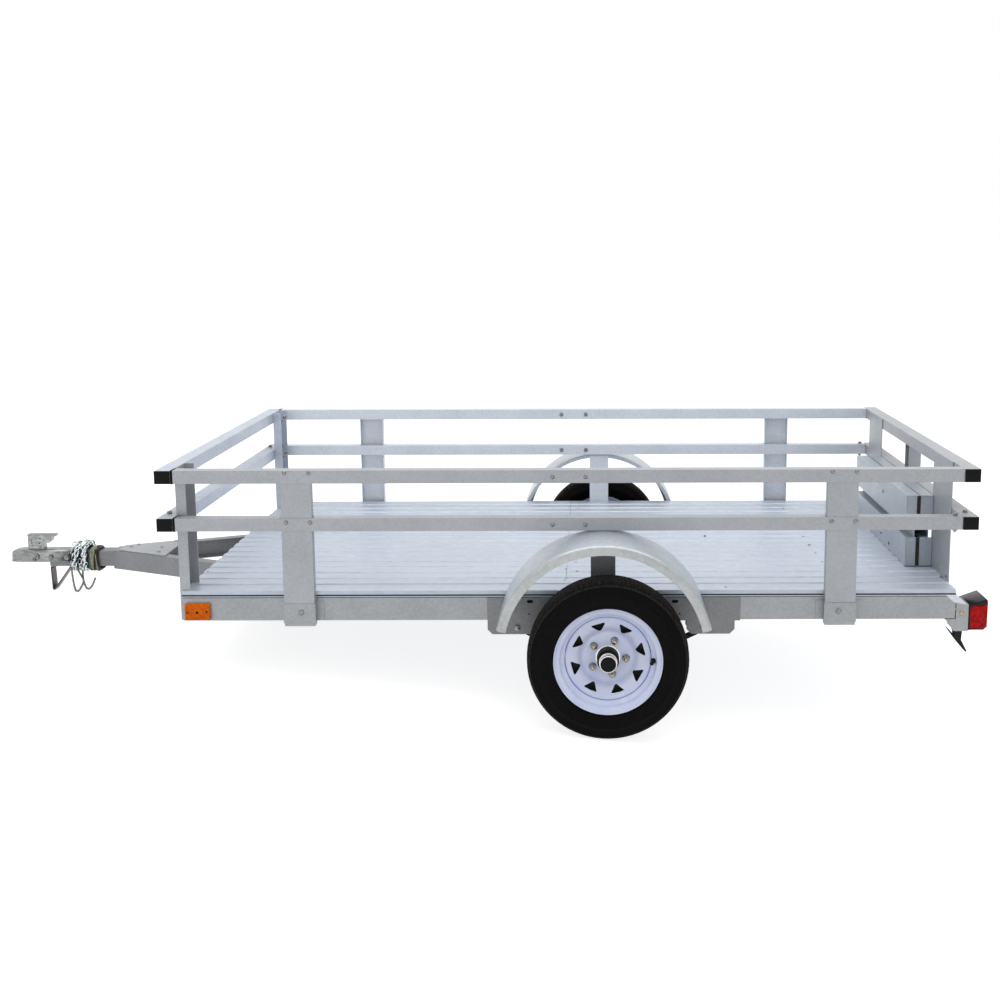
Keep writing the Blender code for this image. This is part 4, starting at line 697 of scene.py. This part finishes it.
def buildFender(f, label, side):
    bm = bmesh.new()
    r, out, back, s, soft = [f[key] for key in ("radius", "outer", "inner", "sheet", "backRound")]
    edge = r - f["lip"]
    corner = [(out - f["round"] * (1 - sin(a)), r - f["round"] * (1 - cos(a)))
              for a in (radians(90 * i / f["cornerSteps"])
                        for i in range(f["cornerSteps"] + 1))]
    hem = [(out, edge + f["hem"]), (out - f["hemTurn"][0], edge + f["hemTurn"][1]),
           (out - f["hem"], edge), (out - f["hem"] - s, edge + s)]
    outside = [(back, r - f["flange"]), (back, r - soft), (back + soft, r)] + corner + hem
    inside = [(out - s, edge + f["hem"] + s), (out - s, r - f["round"]),
              (out - f["round"], r - s), (back + s, r - s), (back + s, r - f["flange"])]
    # drawn with the arch's own axis as z: x is the radius and z the distance outward
    first = radians(f["end"])
    made = addProfile(bm, [(radius, across) for across, radius in outside + inside], 1)
    bm.faces.new(bm.verts[:])
    made = spinRound(bm, made, pi - 2 * first, f["steps"])
    bmesh.ops.contextual_create(bm, geom=[e for e in made if isinstance(e, bmesh.types.BMEdge)])
    bmesh.ops.rotate(bm, cent=(0, 0, 0), matrix=Matrix.Rotation(first, 3, "Z"), verts=bm.verts)
    ripple = f["ripple"]
    for vert in bm.verts:       # the pressed lip is a little uneven
        radius = hypot(vert.co.x, vert.co.y)
        if vert.co.z > out - ripple["depth"] and radius < r - f["round"]:
            turn = atan2(vert.co.y, vert.co.x)
            wave = sin(ripple["waves"] * turn) * sin(
                ripple["slow"] * turn + ripple["across"] * radius)
            vert.co.z -= ripple["height"] * (0.5 + 0.5 * wave)
    for face in bm.faces:       # the lip and its rounded edge take a copy of the zinc toned for the light on them: painted light and shade
        middle = face.calc_center_median()
        face.material_index = int(middle.z > out - f["round"] * f["paintedLipShare"])
    place = Matrix(((1, 0, 0, f["centre"][0]), (0, 0, side, 0), (0, 1, 0, f["centre"][1]),
                    (0, 0, 0, 1)))
    piece = newPiece("fender_" + label + "_arch", bm, ("fenderZinc", "lipPaintedLightZinc"), "chassis",
                     sharp=40, place=tip @ place)
    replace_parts(piece, "fender_" + label)


for label, side in sides:
    buildFender(fender, label, side)
print("fenders built")


# Plastic caps with plugs on the cross rails' ends, and collars where the side rails start
railEnds = {
    "halfWidth": 0.7376, "tops": (0.8295, 0.6743), "height": 0.0425, "cap": 0.0045,
    "crossTubes": ((-1.4407, -1.3907), (1.1378, 1.1878)),
    "capBevel": 0.0018, "plug": 0.02, "plugGap": 0.003, "collar": 0.0078, "collarStand": 0.0012,
    "collarBevel": 0.0012, "sideInner": 0.6946, "collarX": -1.3904,
}


def buildRailEnds(r):
    bm = bmesh.new()
    width, gap, stand = r["halfWidth"], r["plugGap"], r["collarStand"]
    for _, side in sides:
        for top in r["tops"]:
            foot = top - r["height"]
            for front, rear in r["crossTubes"]:
                addSideBox(bm, side, (front, rear), (width, width + r["cap"]), (foot, top),
                           r["capBevel"], 3)
                addSideBox(bm, side, (front + gap, rear - gap), (width - r["plug"], width),
                           (foot + gap, top - gap))
            addSideBox(bm, side, (r["collarX"], r["collarX"] + r["collar"]),
                       (r["sideInner"] - stand, width + stand), (foot - stand, top + stand),
                       r["collarBevel"])
    newPiece("rail_end_caps", bm, "blackPlastic")


buildRailEnds(railEnds)
print("rail ends built")


# Bolts, nuts, screws and rivets of the frame. y is the near side's, mirrored to the far side
outSide, inSide, downward, upward = (0, -1, 0), (0, 1, 0), (0, 0, -1), (0, 0, 1)
forward, backward = (-1, 0, 0), (1, 0, 0)
fixings = {     # kind, the way it faces, then the x, y and z values that it is at
    "post_bolts": (("dome", outSide, (-1.027, -0.95, 0.717, 0.794), -0.7376, (0.822, 0.6606)),),
    "rail_seam_bolts": (("dome", outSide, (-0.1745, -0.0695), -0.7376, (0.8068, 0.6518)),),
    "rail_seam_nuts": (("nut", inSide, (-0.1745, -0.0695), -0.6946, (0.8068, 0.6518)),),
    "pocket_bolts": (("bigDome", outSide, (-0.9885, 0.747), -0.7378, 0.364),),
    "corner_bolts": (
        ("hex", upward, -1.424, -0.659, 0.6743), ("nut", downward, -1.3735, -0.66, (0.6318, 0.787)),
        ("hex", upward, -1.3735, -0.66, 0.6743), ("hex", upward, 1.1628, -0.67, 0.6743),
        ("nut", downward, 1.1628, -0.67, (0.6318, 0.787)), ("hex", upward, 1.118, -0.716, 0.6743),
        ("nut", downward, 1.118, -0.716, 0.6318), ("dome", upward, (-1.3843, -1.369), -0.7, 0.6743),
        ("nut", backward, -1.3574, -0.6443, (0.808, 0.653))),
    "hanger_bolts": (("bigNut", outSide, (-0.2923, 0.3145), -0.7066, 0.3008),
                     ("nut", inSide, (-0.29, 0.32), -0.6524, 0.3008)),
    "bracket_bolts": (("rivet", outSide, 1.133, -0.7036, 0.3599),
                      ("dome", outSide, 1.1554, -0.7036, 0.346)),
    "fender_bolts": (("dome", outSide, -0.013, -0.7096, (0.39, 0.59)),),
    "gusset_bolts": [("dome", upward, x, y, 0.3983) for x, y in (
        (-1.8029, 0.0093), (-1.7867, 0.044), (-1.6836, 0.0018), (-1.6714, -0.071),
        (-1.6606, 0.099))],
    "rear_post_bolts": (("dome", forward, 1.1343, (-0.4967, -0.5871), 0.441),
                        ("dome", backward, 1.1375, (-0.45, -0.56), 0.365)),
}


def placeFixings(table):
    for name, rows in table.items():
        spots = []
        for kind, normal, *values in rows:
            xs, ys, zs = [v if isinstance(v, tuple) else (v,) for v in values]
            spots += [(kind, (x, y, z), normal) for x in xs for y in ys for z in zs]
        fit(name, spots, paint="lugBrass" if name == "bracket_bolts" else "boltZinc",
            mirror=name != "gusset_bolts")


placeFixings(fixings)
print("frame fixings placed")


# Deck: screws over the cross members and the panels' join, rivets on the end strips, and a black
# strip in the gap under each side edge: painted shade
deck = {
    "top": 0.4259,
    "screws": ((-0.1417, 0.5772), (-0.0982, 0.4202), (-0.1379, -0.438), (-0.0996, -0.4648),
        (-0.1389, -0.5796), (-0.1041, -0.3431), (-0.098, -0.606), (0.3875, 0.0509), (0.389, -0.67),
        (0.7633, 0.5428), (0.7647, 0.4125), (0.764, 0.2863), (0.764, 0.1602), (0.7635, 0.034),
        (0.7629, -0.0964), (0.7639, -0.2215), (0.7638, -0.3499), (0.764, -0.478), (0.764, -0.606)),
    # a black strip in the gap under each side edge: painted shade
    "paintedShadeGap": ((-1.383, 1.136), (0.7036, 0.7042), (0.408, 0.4128)),
    "rivets": ((-1.376, 0.313), (-1.371, 0.457), (-1.371, 0.57), (1.1279, 0.4229), (1.1272, 0.4496),
        (1.1291, 0.5444), (1.1284, 0.5722), (1.1279, 0.18)),
}


def buildDeckFixings(d):
    rivets = [(x, side * y) for x, y in d["rivets"] for _, side in sides]
    for name, kind, paint, spots in (("deck_screws", "screw", "wireBlack", d["screws"]),
                                     ("deck_rivets", "rivet", "boltZinc", rivets)):
        bm = bmesh.new()
        scatter(bm, fastenerShapes[kind], [facing((x, y, d["top"]), upward) for x, y in spots])
        newPiece(name, bm, paint, sharp=45)
    bm = bmesh.new()
    # black strips in the gaps under the side edges: painted shade
    for _, side in sides:
        addSideBox(bm, side, *d["paintedShadeGap"])
    newPiece("deck_painted_shade_gap", bm, "wireBlack")


buildDeckFixings(deck)
print("deck fixings placed")


# Safety chains: two chains wound round the tongue, each ending in an open hook. A second layer
# of near-black links under the first stands for the shade inside the winding: painted shade
chains = {
    "wire": 0.003, "wireSides": 6, "linkSteps": 14, "linkLength": 0.027, "linkWidth": 0.0185,
    "links": 60, "turns": 3.6, "from": -2.007, "to": -1.96, "half": 0.046, "drop": 0.044,
    "rise": 0.052, "middle": 0.3619, "square": 0.7, "sweeps": 1.5, "sweepShift": 0.25,
    "turnShift": 0.3, "swell": 0.1, "swellRate": 2.5, "twist": 45, "wobble": 25, "wobbleRate": 1.9,
    "step": (0.01, 0.001),
    # the second layer is near-black: painted shade
    "layers": (("safety_chain_links", "chainSteel", 1, 0),
        ("safety_chain_painted_shade", "chainShade", 0.86, 0.4)),
}
hooks = {
    "thick": 0.0039, "side": -0.048, "apart": 0.006,
    "routes": (((-2.012, 0.333), (-2.0125, 0.3235), (-2.01, 0.29), (-2.006, 0.256), (-2.001, 0.24),
        (-1.993, 0.238), (-1.983, 0.25), (-1.969, 0.276), (-1.97, 0.288), (-1.98, 0.306),
        (-1.989, 0.322), (-1.9905, 0.333)), ((-1.969, 0.345), (-1.972, 0.32), (-1.9745, 0.295),
        (-1.9715, 0.276), (-1.966, 0.255), (-1.957, 0.2445), (-1.944, 0.252), (-1.934, 0.272),
        (-1.927, 0.29))),
}


def linkShape(bm):
    c = chains
    place = Matrix.Translation((c["linkWidth"] / 2 - c["wire"], 0, 0))
    bmesh.ops.create_circle(bm, segments=c["wireSides"], radius=c["wire"],
                            matrix=place @ Matrix.Rotation(pi / 2, 4, "X"))
    spinRound(bm, bm.verts[:] + bm.edges[:], tau, c["linkSteps"], merge=True)
    for vert in bm.verts:
        vert.co.y += copysign((c["linkLength"] - c["linkWidth"]) / 2, vert.co.y)


def squared(value, power):              # swells a sine or cosine, so that a circle gets corners
    return copysign(abs(value) ** power, value)


def windingPoint(c, turn, along):       # round the tongue, higher on top than below
    z = squared(sin(turn * tau), c["square"])
    return Vector((along, -c["half"] * squared(cos(turn * tau), c["square"]),
                   c["middle"] + (c["rise"] if z > 0 else c["drop"]) * z))


def buildChains(c, h):
    link = shapeMesh("link", linkShape)
    for name, paint, share, phase in c["layers"]:
        bm = bmesh.new()
        for i in range(2 * c["links"]):
            chain = i % 2
            along = (i + 0.5) / c["links"] / 2
            sweep = 0.5 - 0.5 * cos(tau * (
                along * c["sweeps"] + c["sweepShift"] * chain + phase))
            x = c["from"] + (c["to"] - c["from"]) * sweep
            turn = along * c["turns"] * (1 if chain else -1) + c["turnShift"] * chain + phase
            swell = share * (1 + c["swell"] * sin(c["swellRate"] * i + chain))
            at = windingPoint(c, turn, x)
            lie = (windingPoint(c, turn + c["step"][0], x + c["step"][1]) - at).normalized()
            at = Vector((at.x, at.y * swell, c["middle"] + (at.z - c["middle"]) * swell))
            spin = lie.to_track_quat("Y", "X").to_matrix().to_4x4()
            twist = c["twist"] * i + c["wobble"] * sin(c["wobbleRate"] * i)
            scatter(bm, link, [Matrix.Translation(at) @ spin
                               @ Matrix.Rotation(radians(twist), 4, "Y")])
        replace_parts(newPiece(name, bm, paint, sharp=60.0), "safety_chains")
    bm = bmesh.new()
    for i, route in enumerate(h["routes"]):
        addWire(bm, [(x, h["side"] + h["apart"] * i, z) for x, z in route], h["thick"])
    newPiece("safety_chain_hooks", bm, "hookSteel", sharp=60)


buildChains(chains, hooks)


# Wiring wound round the tongue behind the chains
wiring = {
    "half": 0.037, "tall": 0.037, "middle": 0.3619, "step": 0.0026, "tilt": 0.007, "tiltRate": 9,
    "thick": 0.0042, "spread": 1.6, "square": 0.6, "turnSteps": 16, "sag": 0.22, "wave": 0.05,
    "waveRate": 2.3, "waveShift": 90,
    "strands": (("wireTeal", -1.946, 3, 0.0026, 0), ("wireBeige", -1.941, 4, 0.0027, 0.2),
        ("wireYellow", -1.937, 3, 0.0023, 0.1), ("wireTeal", -1.929, 2, 0.0022, 0.4),
        ("wireBrown", -1.933, 4, 0.0033, 0.6), ("wireBeige", -1.926, 3, 0.0022, 0.35),
        ("wireBrown", -1.925, 3, 0.0038, 0.8), ("wireBlack", -1.923, 3, 0.0036, 0.3)),
}


def buildWiring(w):
    bm = bmesh.new()
    paints = ("wireBlack", "wireTeal", "wireYellow", "wireBrown", "wireBeige")
    for paint, start, turns, radius, phase in w["strands"]:
        half, tall = [w[key] + w["spread"] * (w["thick"] - radius) for key in ("half", "tall")]
        points = []
        for i in range(turns * w["turnSteps"] + 1):
            a = (i / w["turnSteps"] + phase) * tau
            sag = 1 + w["sag"] * max(0, -sin(a)) + w["wave"] * sin(
                w["waveRate"] * a + start * w["waveShift"])
            points.append((start + w["step"] * i / w["turnSteps"]
                           + w["tilt"] * sin(a) * cos(w["tiltRate"] * phase),
                           half * squared(cos(a), w["square"]) * sag,
                           w["middle"] + tall * squared(sin(a), w["square"]) * sag))
        addWire(bm, points, radius, paint=paints.index(paint))
    piece = newPiece("wiring_strands", bm, paints, sharp=60)
    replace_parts(piece, "wiring_harness")


buildWiring(wiring)
print("chains and wiring wound")


# Tail lamps: red lens, black back plate and a glossy hood that rises toward the rear, and the
# fold and dark seams of the bracket beside them
lamp = {
    "inner": 0.59, "outer": 0.7,
    "plates": ((0, 0.0012, 0.0035, ((1.184, 0.2915), (1.2305, 0.2905), (1.2422, 0.3),
        (1.2432, 0.3695), (1.184, 0.3675))), (0, 0.003, 0.0015, ((1.23, 0.366), (1.2432, 0.366),
        (1.2428, 0.387), (1.234, 0.385))), (1, 0, 0.0015, ((1.178, 0.287), (1.186, 0.287),
        (1.186, 0.37), (1.178, 0.37))), (1, 0, 0.0022, ((1.1782, 0.366), (1.2392, 0.3715),
        (1.2402, 0.386), (1.2375, 0.392), (1.1782, 0.3702))), (1, 0.0025, 0.0008, ((1.182, 0.2872),
        (1.2302, 0.2872), (1.243, 0.2985), (1.2405, 0.303), (1.229, 0.2925), (1.182, 0.292)))),
    "marks": ((1.2125, 0.355), (1.228, 0.3247), (1.197, 0.3235), (1.2155, 0.296)),
    "markSize": 0.0032, "markSunk": 0.004, "markProud": -0.0008,
    "fold": ((1.1005, 0.408), (1.1363, 0.408), (1.172, 0.3752), (1.1272, 0.3835)),
    "seams": (((1.1352, 0.3275), (1.1372, 0.3275), (1.1372, 0.379), (1.1352, 0.379)),
        ((1.099, 0.3262), (1.1372, 0.3262), (1.1372, 0.328), (1.099, 0.328))),
    "trimAt": (0.7036, 0.7042),
}


def buildLamp(l, label, side):
    bm = bmesh.new()
    paints = ("redLens", "hoodPlastic", "wireBlack")
    for paint, inset, bevel, outline in l["plates"]:
        addPlate(bm, outline, side * (l["inner"] + inset), side * (l["outer"] - inset), bevel, 3,
                 paint)
    for x, z in l["marks"]:
        addRod(bm, (x, side * (l["outer"] - l["markSunk"]), z),
               (x, side * (l["outer"] + l["markProud"]), z), l["markSize"], 14, paint=2)
    piece = newPiece("tail_lamp_" + label + "_lens", bm, paints)
    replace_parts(piece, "tail_lamp_" + label)
    bm = bmesh.new()
    for outline, paint in [(l["fold"], 0)] + [(paintedShadeGap, 1) for paintedShadeGap in l["seams"]]:
        addPlate(bm, outline, side * l["trimAt"][0], side * l["trimAt"][1], paint=paint)
    # the fold takes the lighter zinc: painted light
    newPiece("lamp_bracket_" + label + "_fold", bm, ("paintedLightZinc", "wireBlack"))


# Side markers: amber body with a raised middle, a dark spot on it and two screws
marker = {
    "boxes": (((-1.373, -1.291), (0.7038, 0.7168), (0.33, 0.386), 0.0045, 4, 0), ((-1.353, -1.311),
        (0.7128, 0.7178), (0.337, 0.379), 0.0025, 3, 0), ((-1.336, -1.328), (0.7168, 0.7178),
        (0.354, 0.362), 0.0004, 1, 2)),
    "screws": ((-1.364, 0.358), (-1.301, 0.36)), "screwYs": (0.7138, 0.7176), "screwRadius": 0.0036,
    "screwBevel": 0.0006,
}


def buildMarker(m, label, side):
    bm = bmesh.new()
    for box in m["boxes"]:
        addSideBox(bm, side, *box)
    low, high = [side * y for y in m["screwYs"]]
    for x, z in m["screws"]:
        addRod(bm, (x, low, z), (x, high, z), m["screwRadius"], 14, m["screwBevel"], paint=1)
    piece = newPiece("side_marker_" + label + "_lens", bm,
                     ("amberLens", "wireBrown", "wireBlack"))
    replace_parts(piece, "side_marker_" + label)


for label, side in sides:
    buildLamp(lamp, label, side)
    buildMarker(marker, label, side)
print("lamps built")


# Ramp leaves: through bolts, and black strips in the gap between the two leaves at their ends: painted shade
ramp = {
    "bolts": ((1.041, -0.0562, 0.6206), (1.041, 0.24, 0.6206), (1.041, -0.0424, 0.46),
        (1.041, -0.1726, 0.451), (1.041, 0.24, 0.451)),
    "gapX": (1.0768, 1.0892), "gapY": (0.4059, 0.4066), "gapZ": ((0.4275, 0.527), (0.559, 0.674)),
}


def finishRamp(r):
    bm = bmesh.new()
    scatter(bm, fastenerShapes["dome"], [facing(at, forward) for at in r["bolts"]])
    newPiece("ramp_bolts", bm, "boltZinc", sharp=45)
    # black strips in the gaps between the leaves: painted shade
    bm = bmesh.new()
    for _, side in sides:
        for heights in r["gapZ"]:
            addSideBox(bm, side, r["gapX"], r["gapY"], heights)
    newPiece("ramp_painted_shade_gap", bm, "wireBlack")


finishRamp(ramp)
print("ramp finished")


# Coupler: a pressed shell drawn from sections, with x, half width and top at each station,
# and the latch's plate, pins and black discs in its holes: painted shade
coupler = {
    "stations": ((-2.252, 0.012, 0.3545), (-2.2508, 0.0124, 0.36), (-2.25, 0.013, 0.378),
        (-2.2478, 0.018, 0.385), (-2.243, 0.0235, 0.3895), (-2.235, 0.029, 0.393),
        (-2.222, 0.0328, 0.3947), (-2.208, 0.0338, 0.395), (-2.1262, 0.0338, 0.395),
        (-2.015, 0.0338, 0.395)),
    "bottom": 0.351, "lip": 0.004, "corner": 0.008, "sheet": 0.0026, "half": 0.0338,
    "lipShare": 0.8, "lipHeights": (0.003, 0.0065), "cornerMost": (0.5, 0.6), "cornerCut": 0.3,
    "bolts": ((-2.146, 0.3734), (-2.0933, 0.3694), (-2.0329, 0.3677)),
    "under": (-2.1578, 0.36),
    "pins": ((-2.14, 0.404, 0.017, 0.0045), (-2.17, 0.408, 0.016, 0.003)),
    "latchPlate": ((-2.188, -0.017, 0.449), (-2.08, 0.017, 0.4516)),
    "latchHalf": 0.014, "latchBevel": 0.0008, "holeSize": 0.0026, "holeProud": 0.0004,
    "holes": ((-2.1711, 0.4286), (-2.1711, 0.4189), (-2.1393, 0.4364), (-2.1432, 0.4169)),
}


def couplerSection(c, half, top):
    low, (ofHeight, ofHalf) = c["bottom"], c["cornerMost"]
    corner = min(c["corner"], (top - low) * ofHeight, half * ofHalf)
    first, second = [min(low + height, top) for height in c["lipHeights"]]
    near = [(half + c["lip"], low), (half + c["lip"] * c["lipShare"], first), (half, second),
            (half, top - corner),
            (half - corner * c["cornerCut"], top - corner * c["cornerCut"]),
            (half - corner, top)]
    return [(-y, z) for y, z in near] + [(y, z) for y, z in reversed(near)]


def buildCoupler(c):
    bm = bmesh.new()
    rows = [[bm.verts.new((x, y, z)) for y, z in couplerSection(c, half, top)]
            for x, half, top in c["stations"]]
    bm.faces.new(rows[0])
    for row, following in zip(rows, rows[1:]):
        for i in range(len(row) - 1):
            bm.faces.new((row[i], row[i + 1], following[i + 1], following[i]))
    shell = newPiece("coupler_shell", bm, "couplerZinc", sharp=50)
    sheet = shell.modifiers.new("sheet", "SOLIDIFY")
    sheet.thickness = c["sheet"]
    sheet.offset = -1
    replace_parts(shell, "coupler")
    rows = [("bigNut", (x, -c["half"], z), outSide) for x, z in c["bolts"]]
    rows.append(("nut", (c["under"][0], -c["half"], c["under"][1]), outSide))
    fit("coupler_bolts", rows)
    bm = bmesh.new()
    for x, z, half, radius in c["pins"]:
        addRod(bm, (x, -half, z), (x, half, z), radius, 16, c["latchBevel"])
    addBox(bm, *c["latchPlate"], c["latchBevel"])
    reach = c["latchHalf"] + c["holeProud"]
    # black discs in the latch's holes: painted shade
    for x, z in c["holes"]:
        addRod(bm, (x, -reach, z), (x, reach, z), c["holeSize"], 12, paint=1)
    newPiece("latch_pins", bm, ("boltZinc", "wireBlack"))


buildCoupler(coupler)
print("coupler finished")


# Running gear: U-bolts over the axle with their nuts, and black slots and dots on the splice sleeves; the slots
# are painted shade in the sleeves' holes
gear = {
    "springY": 0.6795, "boltRadius": 0.005, "boltXs": (-0.036, 0.036), "boltHalf": 0.0285,
    "boltSteps": 12, "boltDrop": 0.196, "legTop": 0.235, "nutAt": 0.2065,
    "slots": ((-0.2504, 0.389), (0.2208, 0.3885)),
    "slotReach": 0.0055, "slotHalf": 0.0048,
    "dots": ((-0.2544, 0.3472), (0.2361, 0.3474)),
    "dotRadius": 0.0026, "sleeveFace": 0.7063, "proud": 0.0006,
}


def buildGear(g):
    bm = bmesh.new()
    half = g["boltHalf"]
    turns = [radians(180 * i / g["boltSteps"] - 90) for i in range(g["boltSteps"] + 1)]
    for _, side in sides:
        y = side * g["springY"]
        for x in g["boltXs"]:
            arch = [(x, y + half * sin(a), axleHeight + half * cos(a)) for a in turns]
            addWire(bm, [(x, y - half, g["boltDrop"]), (x, y - half, g["legTop"])] + arch
                    + [(x, y + half, g["legTop"]), (x, y + half, g["boltDrop"])],
                    g["boltRadius"])
            scatter(bm, fastenerShapes["nut"], [facing((x, y + leg, g["nutAt"]), downward)
                                                for leg in (-half, half)])
    newPiece("spring_u_bolts", bm, "boltZinc", sharp=45)
    # black slots for the shade in the sleeves' slotted holes, which is painted shade, and black dots
    bm = bmesh.new()
    face, reach, size = g["sleeveFace"], g["slotReach"], g["slotHalf"]
    rounds = [(x + a, z, size) for x, z in g["slots"] for a in (-reach, reach)]
    rounds += [(x, z, g["dotRadius"]) for x, z in g["dots"]]
    for _, side in sides:
        for x, z in g["slots"]:
            addSideBox(bm, side, (x - reach, x + reach), (face, face + g["proud"]),
                       (z - size, z + size))
        for x, z, radius in rounds:
            addRod(bm, (x, side * face, z), (x, side * (face + g["proud"]), z), radius, 20)
    newPiece("sleeve_slot_shade_and_dots", bm, "blackPlastic")


buildGear(gear)
print("running gear finished")
